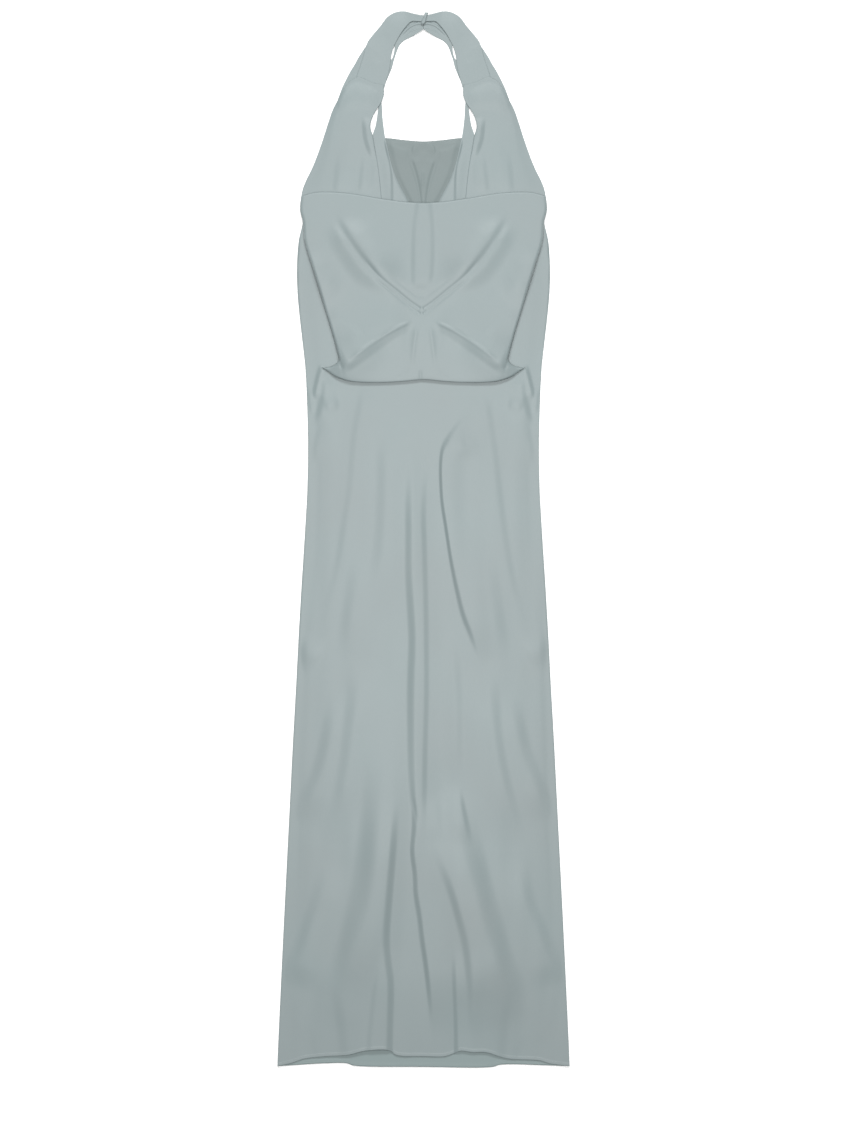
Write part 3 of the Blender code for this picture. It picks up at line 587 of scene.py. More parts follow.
FLARE_FOLDS = [
    Fold(
        "step", 2.2, 22.0, 0.35, 0.35,
        [(-98, 905), (-100, 960), (-105, 1000), (-110, 1040), (-118, 1080), (-127, 1125), (-138, 1170)], 35,
    ),
    Fold(
        "step", 1.7, 20.0, 0.35, 0.25,
        [(-124, 945), (-131, 985), (-141, 1035), (-152, 1070), (-168, 1105), (-184, 1130)], 28,
    ),
    Fold(
        "step", 4.4, 36.0, 0.45, 0.32,
        [
            (-64, 930), (-70, 1010), (-74, 1100), (-80, 1180), (-90, 1240), (-106, 1300), (-130, 1360),
            (-152, 1420),
        ],
        45,
    ),
    Fold(
        "step", 2.0, 18.0, 0.35, 0.35,
        [(138, 1170), (129, 1120), (118, 1080), (109, 1040), (103, 1000), (100, 960), (98, 905)], 35,
    ),
    Fold(
        "step", 1.7, 20.0, 0.25, 0.35,
        [(184, 1130), (170, 1100), (156, 1065), (145, 1035), (133, 985), (124, 945)], 28,
    ),
    Fold("step", 1.15, 15.0, 0.35, 0.35, [(54, 1100), (51, 1040), (50, 960), (45, 900), (42, 850)], 30),
    Fold("step", 1.4, 7.0, 0.4, 0.4, [(68, 1168), (60, 1135), (55, 1110), (50, 1080)], 25),
    Fold(
        "step", 4.4, 34.0, 0.32, 0.35,
        [(140, 1420), (127, 1360), (105, 1300), (88, 1240), (72, 1180), (60, 1130), (54, 1090)], 45,
    ),
    Fold("step", 1.6, 20.0, 0.35, 0.2, [(-140, 1180), (-150, 1240), (-171, 1300), (-196, 1362)], 30),
    Fold("step", 1.6, 20.0, 0.2, 0.35, [(196, 1362), (173, 1300), (148, 1240), (140, 1180)], 30),
]
HEM_FLUTES = [
    Fold(
        "step", 3.0, 12.0, 0.02, 0.25,
        [
            (-48, 1480), (-47, 1420), (-46, 1360), (-49, 1335), (-52, 1300), (-48, 1240), (-44, 1190),
            (-41, 1150), (-38, 1100),
        ],
        60,
    ),
    Fold("step", 1.3, 10.0, 0.4, 0.02, [(-56, 1300), (-63, 1340), (-68, 1365), (-74, 1420), (-79, 1480)], 40),
    Fold(
        "step", 2.4, 13.0, 0.35, 0.4,
        [
            (12, 1160), (22, 1190), (32, 1215), (41, 1240), (49, 1268), (57, 1300), (62, 1335), (65, 1370),
            (66, 1410), (72, 1470),
        ],
        60,
    ),
    Fold("step", 2.0, 8.0, 0.4, 0.02, [(42, 1305), (43, 1360), (45, 1420), (46, 1480)], 50),
    Fold("step", 1.1, 18.0, 0.5, 0.02, [(-126, 1350), (-118, 1400), (-113, 1440), (-110, 1480)], 28),
    Fold("step", 1.1, 18.0, 0.02, 0.5, [(108, 1480), (111, 1440), (115, 1400), (122, 1350)], 28),
]
SIDE_TUCKS = [
    Fold("step", 1.8, 4.0, 0.1, 0.25, [(-143, 496), (-147, 508), (-150, 520), (-153, 533), (-155, 545)], 9),
    Fold("step", 1.5, 9.0, 0.25, 0.3, [(-137, 506), (-140, 522), (-142, 540), (-146, 560), (-152, 580)], 14),
    Fold("ridge", 1.0, 9.0, 0.4, 0.4, [(-140, 556), (-128, 552), (-116, 550)]),
    Fold("step", 0.5, 12.0, 0.3, 0.4, [(-138, 568), (-150, 600), (-158, 640)], 16),
    Fold("ridge", 0.9, 3.0, 0.3, 0.3, [(-160, 526), (-158, 546), (-156, 566)]),
]
SKIRT_FOLDS = WAIST_FOLDS + CENTRE_FOLDS + HIP_FOLDS + FLARE_FOLDS + HEM_FLUTES

# %% Front panel
FRONT_HEM = [
    # x, drop
    (-204, 1477), (-183, 1472), (-169, 1467), (-138, 1463), (-107, 1461), (-83, 1455), (-56, 1453),
    (-46, 1455), (-38, 1461), (0, 1463), (30, 1463), (42, 1459), (52, 1455), (69, 1457), (87, 1457),
    (117, 1466), (163, 1469), (176, 1473), (204, 1477),
]
FRONT_TOP_DROP = 292.0
FRONT_BED = LAYER + CLOTH
SIDE_PUFF, SKIRT_PUFF, COWL_BED = 0.8, 1.0, 2.4
WAIST_DROP = 520.0
SEAM_ROLL = 0.9
RIPPLE = 0.08


def ripples(x, drop):
    """The faint unevenness of cloth that was stroked flat, running down the skirt."""
    sway = 11 * np.sin(drop / 170 + 0.6) + 6 * np.sin(drop / 61)
    return RIPPLE * (np.sin((x + sway) / 7.9) + 0.7 * np.sin((x - 0.6 * sway) / 4.7 + drop / 210))


def front_grid():
    left = side_edge(FRONT_TOP_DROP, FRONT_HEM[0][1], 0.0, FRONT_BED, -1)
    right = side_edge(FRONT_TOP_DROP, FRONT_HEM[-1][1], 0.0, FRONT_BED, 1)
    top = [left[0], (0.0, FRONT_TOP_DROP, FRONT_BED), right[0]]
    hem = [left[-1], *with_rise(FRONT_HEM[1:-1], FRONT_BED), right[-1]]
    roll = SEAM_ROLL / 350
    across = rolled(
        186, roll, roll, [(0.45, 2.4, 0.02), (0.508, 1.2, 0.02), (0.385, 1.2, 0.02), (0.59, 1.6, 0.035)]
    )
    down = crowded(232, [(0.20, 1.2, 0.05), (1.0, 9.0, 0.006)])
    grid, u, v = panel_patch(Edges(top, hem, left, right), across, down)
    x, drop = grid[..., 0], grid[..., 1]
    from_side = half_width(drop) - np.abs(x)
    side = SIDE_PUFF * smoothstep(-8.0, 40.0, from_side)
    skirt = SKIRT_PUFF * smoothstep(WAIST_DROP + 5, WAIST_DROP + 90, drop) * smoothstep(0.0, 90.0, from_side)
    skirt = (skirt + side) * (1.0 - 0.85 * smoothstep(1340.0, 1475.0, drop))
    bed = smoothstep(315.0, 345.0, drop) * (1.0 - smoothstep(WAIST_DROP - 50, WAIST_DROP - 20, drop))
    bed *= (COWL_BED - SIDE_PUFF) * smoothstep(85.0, 125.0, from_side)
    folds = fold_rise(SKIRT_FOLDS + SIDE_TUCKS + mirrored(SIDE_TUCKS, lower=0.5), x, drop)
    folds += ripples(x, drop) * smoothstep(WAIST_DROP + 15, WAIST_DROP + 80, drop)
    lift = eased(skirt + bed + folds * (1.0 - np.exp(-from_side / 6.0)))
    seam = rounding(from_side, SEAM_ROLL)
    grid[..., 2] += lift + hem_step(v, 1180.0)
    grid[..., 2] = 0.9 + (grid[..., 2] - 0.9) * seam
    return grid


front_surface = front_grid()
front_panel = make_cloth("front_panel_cloth", front_surface)
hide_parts("front_panel")

# %% [markdown]
# ## Cowl
# The cowl is the front bodice: a wide doubled piece that bags over the waist. Laid flat, it makes a
# soft pouch. Its top edge is a fold, its lower edge rolls over the waist, and both sides end below
# in a small pinched ear. The slack cloth falls into a broad V with a sharp double crease, and two
# more creases run up from the corners to the point of that V.

# %% The cowl's creases
V_FOLDS = [
    Fold(
        "step", 2.8, 26.0, 0.25, 0.3,
        [(-136, 300), (-127, 318), (-118, 335), (-109, 350), (-99, 365), (-83, 380), (-60, 390), (-34, 400)], 46,
    ),
    Fold(
        "ridge", 1.8, 15.0, 0.3, 0.35,
        [(-127, 283), (-118, 294), (-106, 308), (-90, 323), (-78, 337), (-67, 352), (-52, 368), (-34, 384)],
    ),
    Fold("ridge", 2.2, 22.0, 0.4, 0.3, [(-104, 312), (-88, 328), (-74, 344), (-58, 360), (-34, 384), (-10, 408)]),
    Fold(
        "ridge", -1.5, 5.5, 0.3, 0.4,
        [(-131, 282), (-122, 294), (-111, 312), (-100, 329), (-90, 343), (-79, 358), (-66, 371), (-48, 384)],
    ),
    Fold(
        "crease", 1.2, 1.8, 0.3, 0.02,
        [(-88, 340), (-79, 353), (-68, 367), (-60, 375), (-40, 391), (-20, 407), (-4, 418)],
    ),
    Fold(
        "crease", 1.0, 1.5, 0.3, 0.02,
        [(-78, 366), (-60, 382), (-50, 390), (-35, 402), (-20, 414), (-4, 425)],
    ),
    Fold("ridge", 3.4, 21.0, 0.4, 0.4, [(-172, 334), (-156, 358), (-140, 382), (-112, 404)]),
    Fold("crease", 0.4, 2.0, 0.4, 0.05, [(-44, 374), (-20, 392), (-4, 404)]),
]
CORNER_FOLDS = [
    Fold(
        "step", 2.1, 15.0, 0.15, 0.25,
        [(-116, 506), (-98, 495), (-80, 482), (-60, 468), (-42, 456), (-26, 446), (-12, 438)], 38,
    ),
    Fold("ridge", 0.9, 2.6, 0.15, 0.15, [(-104, 490), (-80, 472), (-60, 458), (-40, 446), (-14, 434)]),
    Fold("step", 0.9, 12.0, 0.3, 0.3, [(-78, 466), (-88, 454), (-103, 438), (-118, 423), (-132, 412)], 24),
    Fold("ridge", 4.2, 25.0, 0.3, 0.5, [(-136, 494), (-110, 492), (-80, 480), (-50, 462)]),
    Fold("ridge", 0.5, 3.0, 0.2, 0.4, [(-9, 440), (-12, 460), (-15, 485), (-17, 505)]),
    Fold("ridge", -0.5, 6.0, 0.3, 0.4, [(-18, 436), (-22, 460), (-24, 485)]),
    Fold("crease", 0.3, 2.0, 0.3, 0.3, [(-20, 497), (-26, 508), (-38, 517)]),
    Fold("crease", 0.9, 1.6, 0.3, 0.3, [(-119, 486), (-116, 495), (-113, 504)]),
]
CENTRE_STRIP = [
    Fold("step", 0.9, 8.5, 0.05, 0.12, [(-8, 262), (-11, 285), (-13, 300), (-14.5, 330), (-15, 355), (-15, 392)], 10),
    Fold("step", 0.9, 8.5, 0.12, 0.05, [(9, 388), (12, 365), (13, 340), (12.5, 310), (11, 285), (8, 262)], 10),
    Fold("ridge", 1.4, 13.0, 0.9, 0.12, [(-1, 270), (-1, 300), (-1, 340), (-2, 396)]),
    Fold("crease", 0.6, 2.0, 0.4, 0.02, [(-4, 500), (-4, 510), (-4, 520)]),
]
COWL_FOLDS = V_FOLDS + mirrored(V_FOLDS, 0.95, 0.0, about=-2.5) + CORNER_FOLDS + mirrored(CORNER_FOLDS, 0.95, 0.8) + CENTRE_STRIP

# %% Cowl
COWL_TOP = [(-171, 260), (-153, 255), (-135, 254), (-103, 256), (-61, 263), (-23, 268), (0, 269)]
COWL_SIDE = [
    # x, drop, down to the tip of the small ear
    (-171, 260), (-172.5, 279), (-168.5, 297), (-167, 321), (-156, 360), (-142, 406), (-127, 455),
    (-121, 478), (-119, 489), (-123, 494.5), (-131, 498.5), (-138, 499.5), (-143, 499),
]
COWL_BOTTOM = [
    # x, drop
    (-143, 499), (-134, 505), (-124, 512), (-107, 518), (-89, 520), (-54, 520), (-29, 518.5), (0, 516),
]
COWL_REST = 5.2
COWL_RIM = 0.4
COWL_THICKNESS = [
    # down, thickness
    (0.0, 2.2), (0.1, 3.2), (0.3, 4.8), (0.5, 5.6), (0.65, 5.8), (0.8, 5.0), (0.92, 3.8), (1.0, 2.4),
]
COWL_ROLLS = {"top": 2.5, "bottom": 6.0, "side": 5.0}


def both_halves(half):
    return list(half) + [(-x, drop) for x, drop in half[-2::-1]]


def cowl_grid():
    top, bottom = with_rise(both_halves(COWL_TOP), COWL_REST), with_rise(both_halves(COWL_BOTTOM), COWL_REST)
    left = with_rise(COWL_SIDE, COWL_REST)
    right = with_rise([(-x, drop) for x, drop in COWL_SIDE], COWL_REST)
    across = rolled(190, COWL_ROLLS["side"] / 300, COWL_ROLLS["side"] / 300, [(0.5, 1.0, 0.07)])
    down = rolled(200, COWL_ROLLS["top"] / 250, COWL_ROLLS["bottom"] / 250, [(0.55, 0.6, 0.15)])
    grid, u, v = panel_patch(Edges(top, bottom, left, right), across, down)
    width = np.linalg.norm(grid[:, -1, :2] - grid[:, 0, :2], axis=-1)[:, None]
    length = np.linalg.norm(grid[-1, :, :2] - grid[0, :, :2], axis=-1)[None, :]
    body = np.interp(v, *dense_curve(COWL_THICKNESS).T)
    folds = fold_rise(COWL_FOLDS, grid[..., 0], grid[..., 1])
    roll = rounding(v * length, COWL_ROLLS["top"]) * rounding((1 - v) * length, COWL_ROLLS["bottom"])
    roll *= rounding(u * width, COWL_ROLLS["side"]) * rounding((1 - u) * width, COWL_ROLLS["side"])
    grid[..., 2] += COWL_RIM + (body - COWL_RIM + folds) * roll
    return grid


cowl_surface = cowl_grid()
cowl = make_cloth("cowl_cloth", cowl_surface)
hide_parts("cowl")

# %% [markdown]
# ## Halter
# Four strips on each side hold the dress up. The wide outer panel rises from the underarm and
# narrows to a seam. From there a narrower band runs up to the nape. A facing shows inside the
# halter, and a turned under layer shows inside the band. Each is given for the left side, and the
# right side is its mirror image.

# %% Halter's edges
ON_BACK, ON_TWO = LAYER + CLOTH, 2 * LAYER + CLOTH
HALTER = Edges(
    top=[
        (-117, 120, 2.6), (-113, 111, 3.2), (-108, 105, ON_TWO), (-103, 99, ON_TWO), (-97, 95, ON_TWO),
        (-92, 93, ON_TWO), (-85, 94.5, ON_TWO), (-78, 98, ON_TWO), (-68, 101.5, ON_TWO), (-62, 103, ON_TWO),
        (-56, 103.5, ON_TWO),
    ],
    bottom=[(-169, 279, ON_BACK), (-112, 281, ON_TWO), (-57, 281, ON_TWO)],
    left=[
        (-117, 120, 2.6), (-127, 139, ON_BACK), (-132, 153, ON_BACK), (-141, 181, ON_BACK),
        (-151, 209, ON_BACK), (-157, 223, ON_BACK), (-164, 237, ON_BACK), (-169, 250, ON_BACK),
        (-171, 262, ON_BACK), (-169, 279, ON_BACK),
    ],
    right=[
        (-56, 103.5, ON_TWO), (-55.5, 118, ON_TWO), (-60, 130, ON_TWO), (-66, 139, ON_TWO), (-71, 148, ON_TWO),
        (-74, 158, ON_TWO), (-74, 165, ON_TWO), (-71, 175, ON_TWO), (-68, 192, ON_TWO), (-65, 209, ON_TWO),
        (-62, 230, ON_TWO), (-57, 281, ON_TWO),
    ],
)
HALTER_FOLDS = [
    Fold("step", 1.2, 16.0, 0.35, 0.35, [(-120, 143), (-100, 134), (-80, 134), (-62, 141)], 34),
    Fold("step", 1.8, 8.0, 0.3, 0.35, [(-85, 146), (-83, 164), (-81, 180), (-76, 196), (-70, 212)], 12),
    Fold("step", 0.7, 9.0, 0.4, 0.05, [(-116, 196), (-121, 222), (-124, 262)], 14),
    Fold("step", 0.8, 8.0, 0.4, 0.05, [(-82, 196), (-86, 222), (-90, 262)], 12),
    Fold("ridge", 0.4, 8.0, 0.4, 0.3, [(-104, 180), (-105, 210), (-107, 244)]),
]

# %% Halter panel
HALTER_PUFF, HALTER_ROLL = 0.5, 0.7


def from_edges(grid, u):
    """How far each place of a strip is from its left and from its right edge."""
    width = np.linalg.norm(grid[:, -1, :2] - grid[:, 0, :2], axis=-1)[:, None]
    return u * width, (1 - u) * width


def halter_grid():
    across, down = rolled(56, 0.035, 0.05), rolled(90, 0.01, 0.0)
    grid, u, v = panel_patch(HALTER, across, down)
    outer, inner = from_edges(grid, u)
    puff = HALTER_PUFF * (1.0 - np.exp(-((outer * inner / (outer + inner) / 13.0) ** 2)))
    lift = puff + fold_rise(HALTER_FOLDS, grid[..., 0], grid[..., 1])
    lift = eased(lift * smoothstep(0.0, 0.12, v) * (1.0 - smoothstep(238.0, 262.0, grid[..., 1])))
    base = grid[..., 2] - 0.8
    grid[..., 2] = base + (0.8 + lift) * rounding(outer, HALTER_ROLL) * rounding(inner, 0.8) * rounding(v * 180, 0.8)
    return grid


print("halter grid", halter_grid().shape)

# %% [markdown]
# The facing is the inside layer of the halter. It lies almost flat on the back panel and ends in the
# straight edges that frame the V behind the cowl.

# %% Facing
FACING = Edges(
    top=[(-64, 123, 1.3), (-59.5, 123, 1.3)],
    bottom=[(-86, 287, ON_BACK), (-13, 287, ON_BACK)],
    left=[
        (-64, 123, 1.3), (-63.4, 134, 1.3), (-65, 149, 1.4), (-67, 161, 1.9), (-70.5, 172, ON_BACK),
        (-72, 182, ON_BACK), (-72, 195, ON_BACK), (-75, 216, ON_BACK), (-79, 239, ON_BACK), (-86, 287, ON_BACK),
    ],
    right=[
        (-59.5, 123, 1.3), (-58, 135, 1.3), (-57.5, 148, 1.4), (-56, 162, 1.9), (-54, 176, ON_BACK),
        (-50.4, 192, ON_BACK), (-45.2, 214, ON_BACK), (-38.9, 232, ON_BACK), (-30.9, 249, ON_BACK),
        (-22.8, 264, ON_BACK), (-13, 287, ON_BACK),
    ],
)
FACING_FOLDS = [
    Fold(
        "step", 1.4, 3.2, 0.15, 0.02,
        [(-56, 176), (-53.5, 188), (-49.5, 204), (-46, 219), (-44.5, 234), (-44, 250), (-44, 290)], 16,
    ),
    Fold("crease", 0.6, 1.6, 0.1, 0.4, [(-60.5, 123), (-60.5, 135), (-61.5, 150)]),
]
FACING_PUFF = 0.8


def facing_grid():
    grid, u, v = panel_patch(FACING, rolled(30, 0.0, 0.05), crowded(80))
    _, inner = from_edges(grid, u)
    puff = FACING_PUFF * smoothstep(-1.0, 3.0, inner) * smoothstep(0.35, 0.6, v)
    halter_line = [place[:2] for place in HALTER.right]
    near, distance, _ = nearest_on_path(halter_line, grid[..., 0], grid[..., 1], 60.0)
    from_halter = np.full(near.shape, 60.0)
    from_halter[near] = distance
    folds = fold_rise(FACING_FOLDS, grid[..., 0], grid[..., 1])
    grid[..., 2] += eased(puff + folds) * smoothstep(1.0, 14.0, from_halter)
    return grid


print("facing grid", facing_grid().shape)

# %% [markdown]
# The neck band is gathered at the nape: its pleats fan out from there and die away on the shoulder.

# %% Neck band
NECK_BAND = Edges(
    top=[(-0.15, 7, 5.9), (-0.15, 16, 6.2)],
    bottom=[(-97, 108, ON_BACK), (-58, 119, ON_BACK)],
    left=[
        (-0.15, 7, 5.9), (-6, 6.3, 5.3), (-15, 4, 3.8), (-27, 0.7, 1.8), (-38, 1.6, 1.3), (-50, 8, 1.3),
        (-61, 22, 1.3), (-70, 32.6, 1.5), (-76.8, 41.5, 2.0), (-80, 48, ON_BACK), (-82, 54, ON_BACK),
        (-85, 66, ON_BACK), (-89, 78, ON_BACK), (-93, 90, ON_BACK), (-97, 108, ON_BACK),
    ],
    right=[
        (-0.15, 16, 6.2), (-8, 15.5, 5.4), (-17, 15.5, 4.3), (-24, 22, 3.7), (-31, 31, 3.3), (-38, 43, 2.8),
        (-42, 52, 2.5), (-45, 62, 2.4), (-46, 71, ON_BACK), (-47, 79, ON_BACK), (-49, 88, ON_BACK),
        (-53, 101, ON_BACK), (-58, 119, ON_BACK),
    ],
)
BAND_PUFF, BAND_ROLL = 0.5, 0.7
BAND_FOLDS = [
    Fold("crease", 0.8, 1.4, 0.02, 0.6, [(-1, 9.5), (-10, 8.5), (-20, 9), (-30, 14)]),
    Fold("crease", 0.7, 1.2, 0.02, 0.6, [(-1, 13), (-10, 12.5), (-20, 15)]),
    Fold("crease", 0.8, 7.0, 0.4, 0.4, [(-50, 30), (-56, 44), (-60, 58), (-64, 76)]),
]


def band_grid():
    grid, u, v = panel_patch(NECK_BAND, rolled(36, 0.07, 0.07), crowded(120, [(0.0, 2.0, 0.1)]))
    outer, inner = from_edges(grid, u)
    puff = BAND_PUFF * (1.0 - np.exp(-((outer * inner / (outer + inner) / 7.0) ** 2)))
    lift = puff * smoothstep(0.0, 0.25, v) * (1.0 - smoothstep(0.72, 0.9, v))
    lift = eased(lift + fold_rise(BAND_FOLDS, grid[..., 0], grid[..., 1]))
    grid[..., 2] += -0.8 + (0.8 + lift) * rounding(outer, BAND_ROLL) * rounding(inner, BAND_ROLL)
    return grid


print("band grid", band_grid().shape)

# %% [markdown]
# The under layer is the other half of the band, turned over on itself: it shows its darker inside
# along the inner edge at the nape, passes beneath the band, and shows again at its outer edge.

# %% Under layer
NECK_UNDER = Edges(
    top=[(-0.15, 13, 3.7), (-0.15, 26, 3.7)],
    bottom=[(-120, 124, CLOTH), (-100, 139, CLOTH)],
    left=[
        (-0.15, 13, 3.7), (-8, 12.5, 2.9), (-16, 14, 2.0), (-24, 18, 1.3), (-33, 27, CLOTH), (-38.5, 38, CLOTH),
        (-40.4, 46, CLOTH), (-40.6, 53, CLOTH), (-41.6, 60, CLOTH), (-45, 68, CLOTH), (-53, 69, CLOTH),
        (-65, 58, CLOTH), (-78.5, 49.5, CLOTH),
        (-82, 51.5, CLOTH), (-86.1, 57.6, CLOTH), (-91.5, 66, CLOTH), (-96, 74.4, CLOTH), (-101.2, 82.8, CLOTH),
        (-105.7, 91, CLOTH), (-110, 99.6, CLOTH), (-114, 108, CLOTH), (-117, 116, CLOTH), (-120, 124, CLOTH),
    ],
    right=[
        (-0.15, 26, 3.7), (-6, 30, 3.0), (-15, 35.5, 2.0), (-26, 41, CLOTH), (-32, 46, CLOTH), (-36, 53, CLOTH),
        (-38.5, 60, CLOTH), (-41.5, 69, CLOTH), (-44, 79, CLOTH), (-48, 89, CLOTH), (-54, 102, CLOTH),
        (-61, 113, CLOTH), (-68, 122, CLOTH), (-78, 129, CLOTH), (-88, 134, CLOTH), (-100, 139, CLOTH),
    ],
)
UNDER_FOLDS = [
    Fold("ridge", 1.2, 2.0, 0.02, 0.4, [(-1, 18), (-8.4, 18.5), (-18, 22), (-30, 32.5), (-35, 40)]),
    Fold("crease", 1.1, 1.0, 0.02, 0.4, [(-1, 21.5), (-14.4, 23.5), (-22.8, 31), (-30, 39.5), (-33, 45)]),
    Fold("ridge", 0.9, 2.0, 0.02, 0.4, [(-2, 23.5), (-15.6, 28.7), (-25, 37), (-31, 43)]),
    Fold("crease", 0.9, 0.9, 0.02, 0.4, [(-2, 26), (-6, 26.5), (-18, 32), (-31, 43)]),
]


def under_grid():
    grid, u, v = panel_patch(NECK_UNDER, rolled(26, 0.06, 0.06), crowded(150, [(0.08, 1.5, 0.1)]))
    fold = fold_rise(UNDER_FOLDS, grid[..., 0], grid[..., 1]) * (1.0 - smoothstep(0.16, 0.26, v))
    outer, inner = from_edges(grid, u)
    grid[..., 2] += -0.6 + (0.6 + eased(fold, 0.4)) * rounding(outer, 1.0) * rounding(inner, 1.0)
    return grid


print("under grid", under_grid().shape)

# %% Both sides of the halter
STRIPS = {
    # name: (grid, material, slot, thickness)
    "halter": (halter_grid(), SATIN_FACE, "satin", 0.6),
    "facing": (facing_grid(), SATIN_FACE, "satin", 0.6),
    "neck_band": (band_grid(), SATIN_FACE, "satin", 0.6),
    "neck_under": (under_grid(), SATIN_FACE, "satin_inside", 0.5),
}
OTHER_SIDE = np.array([-1.0, 1.0, 1.0])
for side, turn in (("left", 1.0), ("right", OTHER_SIDE)):
    for strip, (grid, material, slot_name, thickness) in STRIPS.items():
        piece = make_cloth(f"{strip}_{side}_cloth", grid * turn, material, thickness)
        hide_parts(f"{strip}_{side}")

# %% [markdown]
# ## Nape loop
# A narrow strip, wound tightly round the gathered ends of both bands, holds the halter together. It
# is a tube bent into a flat ring. Its section has two low ridges that turn as they go round, which
# gives the twist of a strip that was wound on a slant.

# %% Nape loop
LOOP_DROP, LOOP_RISE = (4.2, 19.0), (4.8, 7.9)
LOOP_HALF_WIDTH, LOOP_HALF_THICKNESS = 2.4, 1.1
LOOP_MIDDLE, LOOP_SLANT, LOOP_TWIST = 1.6, 3.0, 3
LOOP_STEPS, LOOP_SIDES = 96, 20


def loop_points():
    turn = np.linspace(0, 2 * math.pi, LOOP_STEPS, endpoint=False)[:, None]
    around = np.linspace(0, 2 * math.pi, LOOP_SIDES, endpoint=False)[None, :]
    out_drop, out_rise = np.cos(turn), np.sin(turn)
    squared = (out_drop**4 + out_rise**4) ** -0.25
    half_drop, half_rise = np.diff(LOOP_DROP)[0] / 2, np.diff(LOOP_RISE)[0] / 2
    drop = np.mean(LOOP_DROP) - half_drop * squared * out_drop
    rise = np.mean(LOOP_RISE) + half_rise * squared * out_rise
    twist = 1.0 + 0.14 * np.cos(2 * around + LOOP_TWIST * turn) + 0.05 * np.cos(5 * around - 4 * turn)
    thickness = LOOP_HALF_THICKNESS * (0.68 + 0.32 * out_rise)
    across, out = LOOP_HALF_WIDTH * twist * np.cos(around), thickness * twist * np.sin(around)
    slant = LOOP_MIDDLE + LOOP_SLANT * out_drop
    return np.stack([slant + across, drop - out * out_drop, rise + out * out_rise], axis=-1)


def closed_tube_faces(rings, sides):
    faces = []
    for i in range(rings):
        for k in range(sides):
            after, beside = (i + 1) % rings, (k + 1) % sides
            faces.append((i * sides + k, i * sides + beside, after * sides + beside, after * sides + k))
    return faces


nape_loop = make_mesh(
    "nape_loop_cloth", in_metres(loop_points()).reshape(-1, 3), closed_tube_faces(LOOP_STEPS, LOOP_SIDES),
    SATIN_FACE,
)
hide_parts("nape_loop")

# %% [markdown]
# ## Sewing
# The hems and the back neckline are turned under and topstitched. Each stitch is a short thread that
# rises from one needle hole and goes down the next, laid 0.15 mm proud of the cloth. All the stitches
# of one seam are one mesh.

# %% Stitches along a line of the cloth
STITCH_LENGTH, STITCH_GAP = 2.3, 0.9
THREAD_RADIUS = 0.22


def stitch_row(name, line):
    """Stitches along a line of (x, drop, rise) that runs over the cloth."""
    steps = np.linalg.norm(np.diff(line, axis=0), axis=1)
    along = np.concatenate([[0.0], np.cumsum(steps)])
    count = int(along[-1] / (STITCH_LENGTH + STITCH_GAP))
    shares = np.linspace(0.0, 1.0, 5)
    turns = np.linspace(0, 2 * math.pi, 6, endpoint=False)
    points, faces = [], []
    for i in range(count):
        at = i * (STITCH_LENGTH + STITCH_GAP) + STITCH_GAP / 2 + shares * STITCH_LENGTH
        middle = np.stack([np.interp(at, along, column) for column in line.T], axis=-1)
        middle[:, 2] += 0.16 * np.sin(math.pi * shares) - 0.04
        ahead = middle[-1] - middle[0]
        ahead /= np.linalg.norm(ahead)
        aside = np.array([-ahead[1], ahead[0], 0.0])
        up = np.cross(ahead, aside) * (1 if np.cross(ahead, aside)[2] > 0 else -1)
        radius = THREAD_RADIUS * (0.35 + 0.65 * np.sin(math.pi * np.clip(shares, 0.08, 0.92)))
        ring = middle[:, None] + radius[:, None, None] * (
            np.cos(turns)[None, :, None] * aside + np.sin(turns)[None, :, None] * up
        )
        start = len(points) * 30
        points.append(ring.reshape(-1, 3))
        for k in range(4):
            for m in range(6):
                a, b = start + k * 6 + m, start + k * 6 + (m + 1) % 6
                faces.append((a, b, b + 6, a + 6))
        faces.append(tuple(start + m for m in range(5, -1, -1)))
        faces.append(tuple(start + 24 + m for m in range(6)))
    row = make_mesh(name, in_metres(np.concatenate(points)), faces, THREAD)
    print(name, count, "stitches")
    return row


def line_near_edge(surface, from_edge, end):
    """The line on a sheet at a distance from its first (0) or last (-1) row."""
    rows = surface if end == 0 else surface[::-1]
    depth = np.cumsum(np.linalg.norm(np.diff(rows[..., :2], axis=0), axis=-1), axis=0)
    depth = np.concatenate([np.zeros((1, rows.shape[1])), depth])
    line = [
        [np.interp(from_edge, depth[:, j], rows[:, j, k]) for k in range(3)] for j in range(rows.shape[1])
    ]
    return np.array(line)


front_hem_stitches = stitch_row("front_hem_stitches", line_near_edge(front_surface, 3.8, -1)[9:-9])
back_hem_stitches = stitch_row("back_hem_stitches", line_near_edge(back_surface, 3.8, -1)[2:-2])
back_neck_line = line_near_edge(back_surface, 2.6, 0)
back_neck_line = back_neck_line[np.abs(back_neck_line[:, 0]) < 60]
back_neck_stitches = stitch_row("back_neck_stitches", back_neck_line)

# %% [markdown]


# %% Floor
FLOOR_SIZE = 9.0


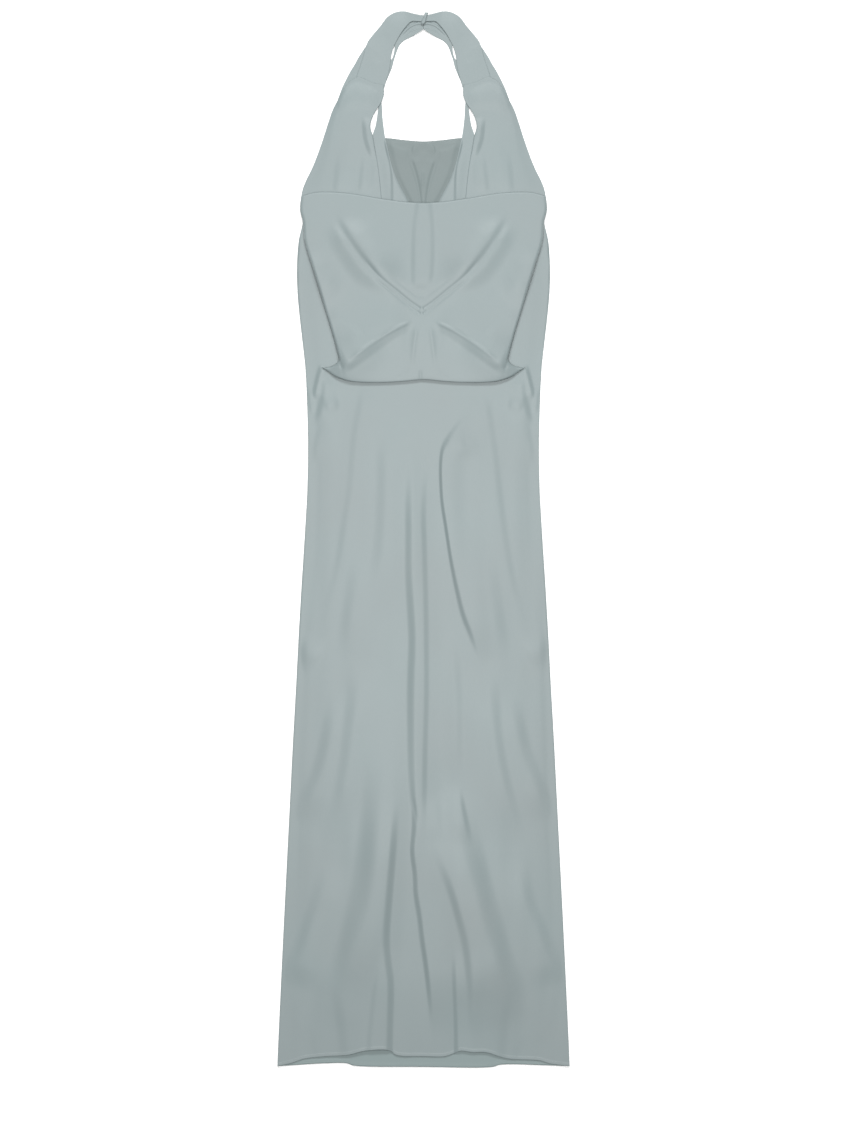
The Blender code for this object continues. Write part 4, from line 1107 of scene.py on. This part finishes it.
def pale_paper():
    material = bpy.data.materials.new("seamless_paper")
    material.use_nodes = True
    tree = material.node_tree
    shader = tree.nodes["Principled BSDF"]
    shader.inputs["Roughness"].default_value = 1.0
    shader.inputs["Specular IOR Level"].default_value = 0.0
    place = add_node(tree, "ShaderNodeTexCoord").outputs["Object"]
    pulp = add_node(tree, "ShaderNodeTexNoise", Vector=place, Scale=300.0)
    tone = add_node(
        tree, "ShaderNodeMix", {"data_type": "RGBA"}, _0=pulp.outputs["Fac"], _6=linear("#f9f9f9"),
        _7=linear("#fcfcfc"),
    )
    tree.links.new(tone.outputs[2], shader.inputs["Base Color"])
    return material


bpy.ops.mesh.primitive_plane_add(size=FLOOR_SIZE, location=(0, 0, -0.0002))
floor = bpy.context.object
floor.name = "floor"
floor.data.materials.append(pale_paper())

# %% [markdown]
# ## Light and camera
# The photographer's light is one broad soft source near the camera, a little towards the neck, with
# white walls all round. Satin that lies level mirrors that source most around the bodice, so the
# dress darkens softly towards the hem. The camera looks straight down.

# %% Light
scene = bpy.context.scene
scene.view_settings.view_transform = "Standard"
world = bpy.data.worlds.new("white_studio")
world.use_nodes = True
world.node_tree.nodes["Background"].inputs["Color"].default_value = (1.0, 1.0, 1.0, 1.0)
world.node_tree.nodes["Background"].inputs["Strength"].default_value = 0.22
scene.world = world


def soft_box(name, place, size, power, aim=None):
    """A rectangular soft light that looks straight down, or at a place on the table."""
    light = bpy.data.lights.new(name, "AREA")
    light.shape = "RECTANGLE"
    light.size, light.size_y = size
    light.energy = power
    lamp = bpy.data.objects.new(name, light)
    scene.collection.objects.link(lamp)
    lamp.location = place
    if aim:
        lamp.rotation_euler = (Vector(aim) - Vector(place)).to_track_quat("-Z", "Y").to_euler()
    return lamp


soft_box("overhead_strip", (0.0, -0.12, 3.0), (1.0, 1.8), 72.0)
for side, x in (("left", -0.5), ("right", 0.5)):
    soft_box(f"neck_softbox_{side}", (x, 2.6, 2.6), (0.8, 0.8), 47.0, aim=(0.0, 0.4, 0.0))

# %% Camera
VIEW_LENGTH = 1.582
LENS, SENSOR = 85.0, 36.0
camera = bpy.data.objects.new("camera", bpy.data.cameras.new("camera"))
camera.data.lens = LENS
camera.data.sensor_width = SENSOR
camera.location = (0.0007, -0.0364, VIEW_LENGTH * LENS / SENSOR)
scene.collection.objects.link(camera)
scene.camera = camera
print("camera height", round(camera.location.z, 3))
